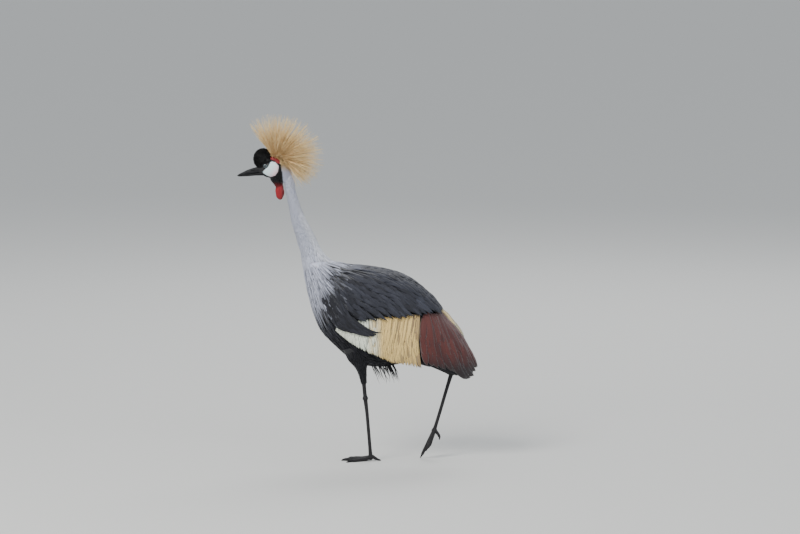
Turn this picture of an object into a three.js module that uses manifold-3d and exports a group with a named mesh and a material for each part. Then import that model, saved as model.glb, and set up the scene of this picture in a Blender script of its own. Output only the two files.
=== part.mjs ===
// A grey crowned crane, life size, in mid stride: the left foot carries it and the right toe tip trails
// on the floor. Millimetres, +Z up. The bird faces -X and its left side is at -Y. The origin is on the
// floor under the middle of it.
import * as THREE from "three";
import { mergeVertices } from "three/addons/utils/BufferGeometryUtils.js";
import Module from "manifold-3d";

const wasm = await Module();
wasm.setup();

// Driving dimensions
const gap = 0.3; // between pieces that touch
const vaneThickness = 0.9;
const eyeRadius = 8;
const lidMargin = 2.6; // of the lid round the eye
const crownReach = 119; // of the longest bristles
const bristleCount = 62;
const LEFT = -1;
const RIGHT = 1;
const TURN = 2 * Math.PI;

// Small helpers
const v3 = (x, y, z) => new THREE.Vector3(x, y, z);
const mix = (a, b, t) => a + (b - a) * t;
const clamp = (x, low, high) => Math.min(high, Math.max(low, x));
const ease = (x, low, high) => {
  const t = clamp((x - low) / (high - low), 0, 1);
  return t * t * (3 - 2 * t);
};

// A repeatable draw between -1 and 1, so that like feathers vary as real ones do.
let drawState = 7;
function draw() {
  drawState = (drawState * 16807) % 2147483647;
  return (drawState / 2147483647) * 2 - 1;
}

// Catmull-Rom through rows of numbers; t runs from 0 to rows.length - 1.
function through(rows, t) {
  const last = rows.length - 1;
  const i = clamp(Math.floor(t), 0, last - 1);
  const f = clamp(t - i, 0, 1);
  const [a, b, c, d] = [i - 1, i, i + 1, i + 2].map((k) => rows[clamp(k, 0, last)]);
  return b.map((_, k) => {
    const bend = 2 * a[k] - 5 * b[k] + 4 * c[k] - d[k];
    const turn = 3 * b[k] - a[k] - 3 * c[k] + d[k];
    return 0.5 * (2 * b[k] + (c[k] - a[k]) * f + bend * f * f + turn * f * f * f);
  });
}

function solidOf(geometry) {
  const bare = geometry.clone();
  bare.deleteAttribute("normal");
  bare.deleteAttribute("uv");
  const merged = mergeVertices(bare, 1e-4);
  const corners = new Uint32Array(merged.index.array);
  const vertProperties = merged.attributes.position.array;
  const mesh = () => new wasm.Mesh({ numProp: 3, vertProperties, triVerts: corners });
  const made = new wasm.Manifold(mesh());
  if (made.volume() >= 0) return made;
  for (let i = 0; i < corners.length; i += 3) {
    [corners[i + 1], corners[i + 2]] = [corners[i + 2], corners[i + 1]];
  }
  return new wasm.Manifold(mesh());
}

// A solid from a plain list of triangle corners.
function solidFrom(corners) {
  const numbers = new Float32Array(corners.flatMap((p) => [p.x, p.y, p.z]));
  return solidOf(new THREE.BufferGeometry().setAttribute("position", new THREE.BufferAttribute(numbers, 3)));
}

// A closed skin over rings of equal size. A ring of one point is a tip; other end rings are capped flat.
function skinOver(rings) {
  const corners = [];
  for (let i = 0; i + 1 < rings.length; i++) {
    const [low, high] = [rings[i], rings[i + 1]];
    const count = Math.max(low.length, high.length);
    for (let k = 0; k < count; k++) {
      const m = (k + 1) % count;
      if (low.length === 1) corners.push(low[0], high[m], high[k]);
      else if (high.length === 1) corners.push(low[k], low[m], high[0]);
      else corners.push(low[k], low[m], high[m], low[k], high[m], high[k]);
    }
  }
  const cap = (ring, flip) => {
    if (ring.length === 1) return;
    const middle = ring.reduce((sum, p) => sum.add(p), v3(0, 0, 0)).divideScalar(ring.length);
    ring.forEach((p, k) => {
      const q = ring[(k + 1) % ring.length];
      corners.push(middle, flip ? q : p, flip ? p : q);
    });
  };
  cap(rings[0], true);
  cap(rings[rings.length - 1], false);
  return solidFrom(corners);
}

const union = (pieces) => pieces.reduce((sum, piece) => sum.add(piece));

// Keeps the largest closed body, which fills sealed hollows and drops loose scraps.
function largest(solid) {
  const bodies = solid.decompose();
  return bodies.reduce((best, body) => (body.volume() > best.volume() ? body : best));
}

function ball(centre, radii, rows = 8, columns = 12) {
  const geometry = new THREE.SphereGeometry(1, columns, rows);
  return solidOf(geometry.scale(...radii).translate(...centre));
}

// Everything on the side of a plane that its normal points to, as one big block.
function halfSpace(point, normal) {
  const size = 3000;
  const block = new THREE.BoxGeometry(size, size, size).translate(0, 0, size / 2);
  const turn = new THREE.Quaternion().setFromUnitVectors(v3(0, 0, 1), normal.clone().normalize());
  return solidOf(block.applyQuaternion(turn).translate(point.x, point.y, point.z));
}

// A thin cut through the bird parts it in two: above is the side that the normal points to.
const cutAt = (point, normal) => ({ point: v3(...point), normal: v3(...normal).normalize() });
const shifted = (cut, by) => cut.point.clone().addScaledVector(cut.normal, by);
const above = (cut) => halfSpace(shifted(cut, gap / 2), cut.normal);
const below = (cut) => halfSpace(shifted(cut, -gap / 2), cut.normal.clone().negate());

// A limb, bill or toe: rows of [x, y, z, depth radius, width radius]; the section stays upright to the
// side plane.
function limb(rows, { sides = 8, extra = 0, tip = false } = {}) {
  const last = rows.length - 1;
  const rings = rows.map(([x, y, z, deep, wide], i) => {
    if (tip && i === last) return [v3(x, y, z)];
    const before = through(rows, Math.max(0, i - 0.05));
    const after = through(rows, Math.min(last, i + 0.05));
    const along = v3(after[0] - before[0], after[1] - before[1], after[2] - before[2]).normalize();
    const side = v3(0, 1, 0).addScaledVector(along, -along.y).normalize();
    const up = v3().crossVectors(side, along);
    return Array.from({ length: sides }, (_, k) => {
      const a = (k / sides) * TURN;
      const out = up.clone().multiplyScalar(Math.cos(a) * (deep + extra));
      return out.addScaledVector(side, Math.sin(a) * (wide + extra)).add(v3(x, y, z));
    });
  });
  return skinOver(rings);
}

// The plumage envelope: each row is a section of the folded bird, from its front or lower point to its
// upper one, with its half width and how boxy its lower half is (1 is round). Behind the legs it
// reaches below the wings, which hang as curtains on both sides of it.
const envelope = [
  // front x, front z, back x, back z, half width, lower roundness
  [-171, 610, -84, 618, 42, 1],
  [-161, 560, -32, 602, 64, 1],
  [-150, 510, 20, 597, 82, 1],
  [-136, 458, 72, 590, 94, 1],
  [-110, 398, 122, 577, 101, 0.95],
  [-65, 350, 168, 555, 104, 0.88],
  [-12, 294, 205, 526, 105, 0.8],
  [50, 270, 234, 498, 104, 0.72],
  [114, 270, 256, 469, 99, 0.66],
  [172, 262, 278, 438, 91, 0.64],
  [220, 256, 300, 411, 79, 0.64],
  [266, 244, 322, 383, 64, 0.66],
  [302, 234, 343, 346, 47, 0.7],
  [332, 238, 358, 314, 30, 0.8],
  [356, 250, 368, 290, 14, 0.9],
];
const upperRoundness = 0.88;

// A point of the envelope at section s and angle phi from the ridge, on one side of the bird.
function envelopePoint(s, phi, side) {
  const [fx, fz, bx, bz, wide, roundness] = through(envelope, s);
  const [c, y] = [Math.cos(phi), Math.sin(phi)];
  const power = 2 / (c > 0 ? upperRoundness : roundness);
  const reach = (Math.abs(c) ** power + Math.abs(y) ** power) ** (-1 / power);
  const up = (1 + c * reach) / 2;
  return v3(mix(fx, bx, up), side * wide * y * reach, mix(fz, bz, up));
}

// The same point lifted off the envelope, with the surface's own directions there.
function onPlumage(s, phi, side, lift) {
  const d = 0.02;
  const s1 = Math.min(s + d, envelope.length - 1);
  const s0 = Math.max(s - d, 0);
  const alongS = envelopePoint(s1, phi, side).sub(envelopePoint(s0, phi, side)).divideScalar(s1 - s0);
  const alongPhi = envelopePoint(s, phi + d, side).sub(envelopePoint(s, phi - d, side)).divideScalar(2 * d);
  const normal = v3().crossVectors(alongS, alongPhi).normalize();
  const point = envelopePoint(s, phi, side);
  const [fx, fz, bx, bz] = through(envelope, s);
  if (point.clone().sub(v3((fx + bx) / 2, 0, (fz + bz) / 2)).dot(normal) < 0) normal.negate();
  return { point: point.addScaledVector(normal, lift), normal, alongS, alongPhi };
}

// Section and angle of the envelope under a point of the side view.
function locate([x, z]) {
  let low = 0;
  let high = envelope.length - 1;
  for (let i = 0; i < 40; i++) {
    const s = (low + high) / 2;
    const [fx, fz, bx, bz] = through(envelope, s);
    if ((bx - fx) * (z - fz) - (bz - fz) * (x - fx) > 0) high = s;
    else low = s;
  }
  const s = (low + high) / 2;
  const [fx, fz, bx, bz, , roundness] = through(envelope, s);
  const length = Math.hypot(bx - fx, bz - fz);
  const along = ((x - fx) * (bx - fx) + (z - fz) * (bz - fz)) / length;
  const c = clamp((2 * along) / length - 1, -1, 1);
  const power = 2 / (c > 0 ? upperRoundness : roundness);
  return [s, Math.atan2((1 - Math.abs(c) ** power) ** (1 / power), c)];
}

// The place on the envelope that lies a short way off another one.
function stepFrom([s, phi], side, way) {
  const goal = envelopePoint(s, phi, side).add(way);
  const place = [s, phi];
  for (let i = 0; i < 3; i++) {
    const { point, alongS, alongPhi } = onPlumage(...place, side, 0);
    const miss = goal.clone().sub(point);
    const [ss, sp, pp] = [alongS.lengthSq(), alongS.dot(alongPhi), alongPhi.lengthSq()];
    const [ws, wp] = [miss.dot(alongS), miss.dot(alongPhi)];
    const area = Math.max(ss * pp - sp * sp, 1);
    place[0] = clamp(place[0] + (ws * pp - wp * sp) / area, 0, envelope.length - 1);
    place[1] += (wp * ss - ws * sp) / area;
  }
  return place;
}

// A slab that follows the plumage over a region, from its root line down to a share of the way to its tips.
function slab(place, side, { lift, thick, reach = 1, columns = 6, rows = 3 }) {
  const corner = (i, k, up) => {
    const v = (k / rows) * reach;
    const [s, phi] = place(i / columns, v);
    return onPlumage(s, phi, side, lift(v, s) - (up ? 0 : thick(v))).point;
  };
  const corners = [];
  const quad = (a, b, c, d) => corners.push(a, b, c, a, c, d);
  const top = (i, k) => corner(i, k, true);
  const base = (i, k) => corner(i, k, false);
  for (let i = 0; i < columns; i++) {
    for (let k = 0; k < rows; k++) {
      quad(top(i, k), top(i + 1, k), top(i + 1, k + 1), top(i, k + 1));
      corners.push(base(i, k), base(i + 1, k + 1), base(i + 1, k));
      corners.push(base(i, k), base(i, k + 1), base(i + 1, k + 1));
    }
    quad(base(i, 0), base(i + 1, 0), top(i + 1, 0), top(i, 0));
    quad(top(i, rows), top(i + 1, rows), base(i + 1, rows), base(i, rows));
  }
  for (let k = 0; k < rows; k++) {
    quad(top(0, k), top(0, k + 1), base(0, k + 1), base(0, k));
    quad(base(columns, k), base(columns, k + 1), top(columns, k + 1), top(columns, k));
  }
  return solidFrom(corners);
}

// The skin of a thin vane over rings of upper left, upper right, lower right and lower left, split
// alike on both faces.
function vaneSkin(rings) {
  const corners = [];
  for (let i = 0; i + 1 < rings.length; i++) {
    const [a, b, c, d] = rings[i];
    const [e, f, g, h] = rings[i + 1];
    corners.push(a, b, f, a, f, e, d, g, c, d, h, g, b, c, g, b, g, f, d, a, e, d, e, h);
  }
  const [a, b, c, d] = rings[0];
  const [e, f, g, h] = rings[rings.length - 1];
  corners.push(a, c, b, a, d, c, e, f, g, e, g, h);
  return solidFrom(corners);
}

// A feather on the plumage, along places [section, angle] from quill to tip. It hugs the curve of the
// bird, and its rear edge lies higher than its front one by the tilt, so that the next feather slips
// under it.
const featherShape = [0.5, 1, 0.9, 0.2];
const shortShape = [0.55, 1, 0.85, 0.2];
const droopShape = [0.6, 0.9, 1, 0.3];
function vane(path, side, { width, lift, tilt = 0, shape = featherShape }) {
  const at = (t) => through(path, clamp(t, 0, 1) * (path.length - 1));
  const rings = shape.map((share, i) => {
    const t = i / (shape.length - 1);
    const place = at(t);
    const { normal } = onPlumage(...place, side, 0);
    const along = envelopePoint(...at(t + 0.03), side).sub(envelopePoint(...at(t - 0.03), side));
    const across = v3().crossVectors(normal, along).normalize().multiplyScalar(-side);
    const corner = (sign, up) => {
      const edge = stepFrom(place, side, across.clone().multiplyScalar((sign * width(t) * share) / 2));
      const height = lift(t, place[0]) + (sign * tilt * share) / 2 + (up * vaneThickness) / 2;
      return onPlumage(...edge, side, height).point;
    };
    return [corner(-1, 1), corner(1, 1), corner(1, -1), corner(-1, -1)];
  });
  return vaneSkin(rings);
}

// A row of feathers over a region: place(u, v) runs along it and from its root line to its tip line.
// Each is as wide as it may be, or as lets it overlap the next one a little where they crowd.
const overlap = 1.25;
function featherRow(place, side, { count, from, to, drift = 0, jitter = 0, width, ...feather }) {
  const paths = Array.from({ length: count }, (_, i) => {
    const u = (i + 0.5) / count;
    const end = clamp(u + drift + (draw() * jitter) / count, 0.5 / count, 1 - 0.3 / count);
    const tip = to + draw() * jitter * 0.1;
    return [0, 0.5, 1].map((t) => place(mix(u, end, t), mix(from, tip, t)));
  });
  const spot = (i, t) => envelopePoint(...through(paths[i], clamp(t, 0, 1) * 2), side);
  return paths.map((path, i) => {
    const next = i + 1 < count ? i + 1 : i - 1;
    const room = (t) => {
      const along = spot(i, t + 0.1).sub(spot(i, t - 0.1)).normalize();
      const aside = spot(next, t).sub(spot(i, t));
      return aside.addScaledVector(along, -aside.dot(along)).length();
    };
    return vane(path, side, { ...feather, width: (t) => Math.min(width, overlap * room(t)) });
  });
}

const region = (roots, tips) => (u, v) => {
  const root = through(roots, u * (roots.length - 1));
  const tip = through(tips, u * (tips.length - 1));
  return [mix(root[0], tip[0], v), mix(root[1], tip[1], v)];
};

// Colours and finishes
const paint = (color, roughness) => new THREE.MeshStandardMaterial({ color, roughness, metalness: 0 });
const paleGrey = paint(0xbcc0cf, 0.85);
const slate = paint(0x3c4048, 0.8);
const black = paint(0x101012, 0.85);
const white = paint(0xe6eadf, 0.8);
const straw = paint(0xd9bd84, 0.8);
const chestnut = paint(0x5e2f2b, 0.8);
const crownGold = paint(0xd8bd86, 0.8);
const skinWhite = paint(0xe8eaea, 0.6);
const skinRed = paint(0xa3161c, 0.5);
const horn = paint(0x26282c, 0.45);
const scaleBlack = paint(0x17171a, 0.6);
const eyeBlue = paint(0xaebfc8, 0.15);

const crane = new THREE.Group();

function node(name, solid, finish) {
  const mesh = largest(solid).getMesh();
  const positions = new Float32Array(mesh.numVert * 3);
  for (let i = 0; i < mesh.numVert; i++) {
    const start = i * mesh.numProp;
    positions.set(mesh.vertProperties.subarray(start, start + 3), i * 3);
  }
  const geometry = new THREE.BufferGeometry();
  geometry.setAttribute("position", new THREE.BufferAttribute(positions, 3));
  geometry.setIndex(new THREE.BufferAttribute(mesh.triVerts, 1));
  const piece = new THREE.Mesh(geometry, finish);
  piece.name = name;
  crane.add(piece);
}

const bothSides = (make) => [["left", LEFT], ["right", RIGHT]].forEach(([name, side]) => make(name, side));

// Neck and trunk, made as one form and parted with thin cuts.
// The neck: middle x, y and z, depth radius, width radius, from inside the head down to the shoulders.
const neckRows = [
  [-215, 0, 882, 15, 13],
  [-210, 0, 860, 16, 14],
  [-206, 0, 830, 15, 14],
  [-198, 0, 799, 16, 15],
  [-190, 0, 769, 18, 17],
  [-181, 0, 738, 21.5, 19.5],
  [-169, 0, 708, 24.5, 22],
  [-157, 0, 677, 28, 25],
  [-146, 0, 648, 30, 30],
  [-133, 0, 613, 38, 37],
  [-112, 0, 575, 48, 50],
];
const neckForm = (extra = 0) => limb(neckRows, { sides: 14, extra });

// The trunk lies inside the envelope: how far in from its lower line and its back, and its share of the
// width.
const trunkInset = [
  [1, 3, 0.97],
  [1, 8, 0.93],
  [1, 12, 0.88],
  [1, 13, 0.84],
  [1, 13, 0.81],
  [2, 13, 0.78],
  [12, 15, 0.77],
  [28, 18, 0.75],
  [40, 24, 0.66],
  [54, 34, 0.5],
  [74, 38, 0.3],
];
const trunkSides = 14;
const trunkRings = 12;
const trunkEnd = 9.8;

function trunkRing(s, extra) {
  const [fx, fz, bx, bz, wide] = through(envelope, s);
  const [low, high, share] = through(trunkInset, s);
  const length = Math.hypot(bx - fx, bz - fz);
  const [ux, uz] = [(bx - fx) / length, (bz - fz) / length];
  const deep = (length - low - high) / 2;
  const middle = v3(fx + ux * (low + deep), 0, fz + uz * (low + deep));
  return Array.from({ length: trunkSides }, (_, k) => {
    const a = (k / trunkSides) * TURN;
    const out = v3(ux, 0, uz).multiplyScalar(Math.cos(a) * (deep + extra));
    return out.addScaledVector(v3(0, 1, 0), Math.sin(a) * (share * wide + extra)).add(middle);
  });
}

const trunkForm = (extra = 0) =>
  skinOver(Array.from({ length: trunkRings }, (_, i) => trunkRing((i / (trunkRings - 1)) * trunkEnd, extra)));

const shoulderCut = cutAt([-112, 0, 594], [-0.22, 0, 0.975]);
const middleCut = cutAt([-185, 0, 752], [-0.33, 0, 0.94]);
const headCut = cutAt([-212, 0, 857], [-0.15, 0, 0.99]);

const trunkAndNeck = neckForm().add(trunkForm());
const bodyKeepOut = neckForm(gap).add(trunkForm(gap));

// Long pointed hackles hang in two tiers: from the foot of the neck over the shoulders, and down the
// breast.
const hackleShape = [0.6, 1, 0.75, 0.12];
function hackles(angles, { from, to, sunk, rise }) {
  return angles.flatMap((phi) => {
    const tip = to + 0.3 * draw();
    const path = [[from, phi], [mix(from, tip, 0.5), phi + 0.03 * draw()], [tip, phi + 0.08 * draw()]];
    const lift = (t) => mix(sunk, rise, ease(t, 0, 0.4));
    const feather = { width: () => 23, tilt: 0.8, shape: hackleShape, lift };
    return [LEFT, RIGHT].map((side) => vane(path, side, feather));
  });
}
const collarAngles = [0.22, 0.72, 1.22, 1.74, 2.28, 2.84];
const breastAngles = [2.64, 2.97];
const collar = union(hackles(collarAngles, { from: 0.05, to: 2, sunk: -4, rise: 3.4 }));
const breast = union(hackles(breastAngles, { from: 1.9, to: 4.2, sunk: -6, rise: 1.6 }));
const lowerNeck = trunkAndNeck.intersect(above(shoulderCut)).intersect(below(middleCut));
node("torso", trunkAndNeck.intersect(below(shoulderCut)).add(breast), slate);
node("neck_lower", lowerNeck.add(collar), paleGrey);
node("neck_upper", neckForm().intersect(above(middleCut)).intersect(below(headCut)), paleGrey);

// The head: rows along it of x, top z, bottom z, half width.
const headRows = [
  [-303, 903, 882, 8],
  [-292, 914, 877, 13],
  [-280, 925, 872, 17],
  [-266, 934, 868, 20],
  [-250, 938, 864, 21.5],
  [-235, 935, 858, 21],
  [-222, 924, 850, 18],
  [-211, 906, 850, 13],
  [-203, 890, 862, 7],
];
const headSides = 12;
const headRings = 10;

function headForm(extra = 0) {
  const ring = (t) => {
    const [x, top, bottom, wide] = through(headRows, t);
    return Array.from({ length: headSides }, (_, k) => {
      const a = (k / headSides) * TURN;
      const deep = (top - bottom) / 2 + extra;
      return v3(x, Math.sin(a) * (wide + extra), (top + bottom) / 2 + Math.cos(a) * deep);
    });
  };
  const last = headRows.length - 1;
  return skinOver(Array.from({ length: headRings }, (_, i) => ring((i / (headRings - 1)) * last)));
}

// Bill: rows of x, y, z, depth radius, width radius for each half, which meet along the line of the mouth.
const upperBillRows = [
  [-286, 0, 894, 9.5, 9],
  [-300, 0, 892.5, 9.5, 8],
  [-316, 0, 889.5, 9.1, 6.8],
  [-333, 0, 885.4, 7.4, 5.2],
  [-349, 0, 880.6, 4.9, 3.8],
  [-361, 0, 876.8, 2.9, 2.4],
  [-368, 0, 874.2, 0.8, 0.8],
];
const lowerBillRows = [
  [-286, 0, 881, 6.5, 8.2],
  [-300, 0, 880.5, 5.6, 7],
  [-316, 0, 879, 4.6, 5.8],
  [-333, 0, 876.5, 3.6, 4.4],
  [-349, 0, 874.5, 2.4, 3],
  [-361, 0, 873.2, 1.3, 1.8],
  [-365, 0, 872.9, 0.6, 0.8],
];
const gape = cutAt([-286, 0, 885.2], [-0.147, 0, 0.989]);
const billForm = (rows, extra = 0) => limb(rows, { extra, tip: true });
const nostril = (side) => ball([-318, side * 7.2, 891.5], [7, 2.4, 1.7], 4, 6);
const upperBill = billForm(upperBillRows).intersect(above(gape));
node("bill_upper", upperBill.subtract(nostril(LEFT)).subtract(nostril(RIGHT)), horn);
node("bill_lower", billForm(lowerBillRows).intersect(below(gape)), horn);
const billKeepOut = billForm(upperBillRows, gap).add(billForm(lowerBillRows, gap));

// Eyes, each in a socket with a ring of lid round it.
const eyePlace = (side) => [-281, side * 11.5, 905.5];
const eyeForm = (side, extra = 0) => ball(eyePlace(side), Array(3).fill(eyeRadius + extra), 6, 8);
function lidRing(side) {
  const ring = new THREE.TorusGeometry(7.6, 1.3, 3, 8).rotateX(TURN / 4).rotateZ(side * 0.24);
  return solidOf(ring.translate(-281.5, side * 14.6, 905.5));
}
bothSides((name, side) => node("eye_" + name, eyeForm(side), eyeBlue));
const eyesKeepOut = eyeForm(LEFT, gap).add(eyeForm(RIGHT, gap));
const lids = lidRing(LEFT).add(lidRing(RIGHT));

// The black throat below the chin, and the red wattle that hangs from it with a fold down each side.
const throatRows = [
  [-262, 0, 872, 9, 12],
  [-252, 0, 862, 11, 11.5],
  [-243, 0, 852, 12, 10],
  [-237, 0, 840, 11.5, 8.5],
];
const wattleRows = [
  [-238.5, 0, 850, 8.5, 6],
  [-238, 0, 838, 12, 8],
  [-238, 0, 826, 13.6, 8.6],
  [-237.5, 0, 813, 11.5, 7.6],
  [-236.5, 0, 804, 6.5, 5],
  [-236, 0, 801, 2, 2],
];
const wattleCut = cutAt([-238, 0, 843], [0.1, 0, 1]);
const wattleFold = (side) => ball([-238, side * 9.4, 818], [2.2, 1.9, 15], 4, 6);
const wattle = limb(wattleRows).intersect(below(wattleCut));
node("wattle", wattle.subtract(wattleFold(LEFT)).subtract(wattleFold(RIGHT)).subtract(bodyKeepOut), skinRed);

const throat = limb(throatRows).intersect(above(wattleCut));
const napeInside = neckForm().intersect(above(headCut));
const underHeadCut = halfSpace(shifted(headCut, gap / 2), headCut.normal.clone().negate());
const neckKeepOut = neckForm(gap).intersect(underHeadCut);
const headWhole = union([headForm(), throat, lids, napeInside]).subtract(neckKeepOut);
node("head", headWhole.subtract(billKeepOut).subtract(eyesKeepOut), black);

// The velvet cushion of the forehead.
const cushionForm = (extra = 0) => {
  const dome = ball([-290, 0, 931], [28 + extra, 20 + extra, 28 + extra], 7, 10);
  return dome.intersect(halfSpace(v3(-290, 0, 909 - extra), v3(-0.5, 0, 0.87)));
};
const lidKeepOut = (side) => ball(eyePlace(side), Array(3).fill(eyeRadius + lidMargin), 6, 10);
const browKeepOut = union([headForm(gap), billKeepOut, lidKeepOut(LEFT), lidKeepOut(RIGHT)]);
node("forehead_cushion", cushionForm().subtract(browKeepOut), black);

// The crown of stiff gold bristles spreads from a narrow pad over the top and back of the head.
const padRows = [
  [-262, 0, 933, 7, 9],
  [-250, 0, 932, 11, 12],
  [-234, 0, 929, 12, 13],
  [-220, 0, 917, 13, 12],
  [-209, 0, 900, 11, 9],
];
const crownPad = (extra = 0) => limb(padRows, { extra }).subtract(headForm(gap));

// Bare skin raised on each side of the face, its outline given in the side view.
const cheekOutline = [
  [-289, 886],
  [-280, 876.5],
  [-266, 871.5],
  [-252, 877],
  [-243, 890],
  [-241, 907],
  [-252, 917.5],
  [-265, 920.5],
  [-270, 911],
  [-273, 900],
  [-283, 895],
];
const napeOutline = [
  [-268, 924],
  [-256, 921.4],
  [-246, 915.5],
  [-239, 911.5],
  [-238, 922],
  [-252, 931],
  [-264, 932],
];
const faceDepth = 40; // more than half the head's width
function faceSkin(outline, side, rise) {
  const shape = new THREE.Shape(outline.map(([x, z]) => new THREE.Vector2(x, z)));
  const prism = new THREE.ExtrudeGeometry(shape, { depth: faceDepth, bevelEnabled: false }).rotateX(TURN / 4);
  const across = solidOf(side === LEFT ? prism : prism.translate(0, faceDepth, 0));
  return headForm(rise).intersect(across).subtract(headForm(gap)).subtract(billKeepOut);
}
bothSides((name, side) => {
  node("cheek_" + name, faceSkin(cheekOutline, side, 2).subtract(lidKeepOut(side)), skinWhite);
  const nape = faceSkin(napeOutline, side, 1.6).subtract(cushionForm(gap)).subtract(crownPad(gap));
  node("nape_skin_" + name, nape, skinRed);
});

// Along the pad, from its front to its back: the way the bristles point in the side view and their reach.
const crownSpread = [
  [121, 1],
  [97, 1],
  [70, 1],
  [42, 0.97],
  [12, 0.9],
  [-18, 0.82],
  [-42, 0.62],
];
const crownFan = 52; // degrees that the outermost bristles lean to each side
const goldenShare = 0.618034;
const bristleRoot = 9.6; // from the pad's middle line, just inside its surface
function bristle(i) {
  const share = (i + 0.5) / bristleCount;
  const [angle, reach] = through(crownSpread, share * (crownSpread.length - 1));
  const [x, , z] = through(padRows, mix(0.5, padRows.length - 1.2, share));
  const lean = ((((i * goldenShare) % 1) * 2 - 1) * crownFan * TURN) / 360;
  const turn = ((angle + 2.5 * draw()) * TURN) / 360;
  const way = v3(Math.cos(turn) * Math.cos(lean), Math.sin(lean), Math.sin(turn) * Math.cos(lean));
  const root = v3(x, 0, z).addScaledVector(way, bristleRoot);
  const length = crownReach * reach * (1 + 0.07 * draw());
  const side = v3().crossVectors(way, v3(0, 1, 0.2)).normalize();
  const across = v3().crossVectors(way, side);
  const ring = (t, radius) => {
    const middle = root.clone().addScaledVector(way, t * length).add(v3(0, 0, -6 * t * t));
    if (radius === 0) return [middle];
    return [0, 1, 2].map((k) => {
      const a = (k / 3) * TURN;
      const out = side.clone().multiplyScalar(Math.cos(a) * radius);
      return out.addScaledVector(across, Math.sin(a) * radius).add(middle);
    });
  };
  return skinOver([ring(0, 1.1), ring(0.5, 0.9), ring(1, 0)]);
}
const bristles = Array.from({ length: bristleCount }, (_, i) => bristle(i));
node("crown", union([crownPad(), ...bristles]).subtract(cushionForm(gap)), crownGold);

// The tail: long black feathers fan out behind the trunk from a short root, the middle ones on top.
const tailRows = [
  [250, 0, 362, 22, 18],
  [266, 0, 346, 17, 20],
  [280, 0, 330, 9, 19],
];
const tailFeathers = 7;
function tailFeather(i) {
  const k = (i / (tailFeathers - 1)) * 2 - 1;
  const path = [
    v3(262, 9 * k, 344),
    v3(286, 17 * k, 318 - 3 * Math.abs(k)),
    v3(310, 20 * k, 291 - 4 * Math.abs(k)),
    v3(331 - 12 * k * k, 20 * k, 264 + 4 * k * k),
  ];
  const way = path[3].clone().sub(path[0]).normalize();
  const across = v3(0, 1, 0).addScaledVector(way, -way.y).normalize();
  const normal = v3().crossVectors(across, way).multiplyScalar(-1);
  const drop = -3.4 * Math.abs(k);
  return vaneSkin(
    path.map((p, n) => {
      const half = [5, 7.5, 8.5, 3][n];
      const edge = (sign, up) => {
        const lift = drop + up * 0.45 - (k === 0 ? 0 : sign * Math.sign(k) * 0.5);
        return p.clone().addScaledVector(across, sign * half).addScaledVector(normal, lift);
      };
      return [edge(-1, 1), edge(1, 1), edge(1, -1), edge(-1, -1)];
    }),
  );
}
const tailFan = Array.from({ length: tailFeathers }, (_, i) => tailFeather(i));
node("tail", union([limb(tailRows), ...tailFan]).subtract(bodyKeepOut), black);

// Folded wings. The arm lies on the trunk, and each group of feathers sits on it with a root pad of its
// own.
const armTop = [[-60, 545], [0, 560], [60, 556], [120, 535], [180, 505], [230, 478]].map(locate);
const armLow = [[-75, 412], [-10, 412], [60, 412], [120, 412], [180, 412], [228, 412]].map(locate);
const strawRoots = [[56, 446], [90, 452], [128, 458], [160, 460], [188, 458]].map(locate);
const strawTips = [[54, 334], [82, 320], [113, 307], [150, 298], [190, 293]].map(locate);
const whiteRoots = [[-62, 418], [-30, 428], [5, 437], [48, 444]].map(locate);
const whiteTips = [[-62, 404], [-38, 380], [-5, 358], [48, 336]].map(locate);
const ridgeAngle = 0.11;
const chestnutRoots = [locate([205, 460]), locate([218, 482]), [8.9, 0.44], [9.1, ridgeAngle]];
const chestnutTips = [locate([209, 300]), locate([262, 288]), locate([318, 268]), [13.8, 0.5]];
const primaryRoots = [[90, 410], [120, 410], [150, 410], [185, 410]].map(locate);
const primaryTips = [[208, 290], [255, 279], [300, 260], [336, 258]].map(locate);
const slateRoots = [[1.4, 0.56], [1.5, 0.98], [1.7, 1.41], [2.1, 1.84], [2.6, 2.26]];
const slateTips = [[8.5, 0.55], [7.2, 0.92], [5.8, 1.37], [5.6, 1.8], [4.6, 2.26]];
const behindTrunk = (s) => ease(s, 9, 10.8);

// How feathers leave their root pad: sunk at the quill, soon clear of it, and then up to the height of
// their tip.
const clearOfPad = 0.3;
const rising = (sunk, height, tip = height) => (t) =>
  t < clearOfPad ? mix(sunk, height, t / clearOfPad) : mix(height, tip, (t - clearOfPad) / (1 - clearOfPad));

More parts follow.
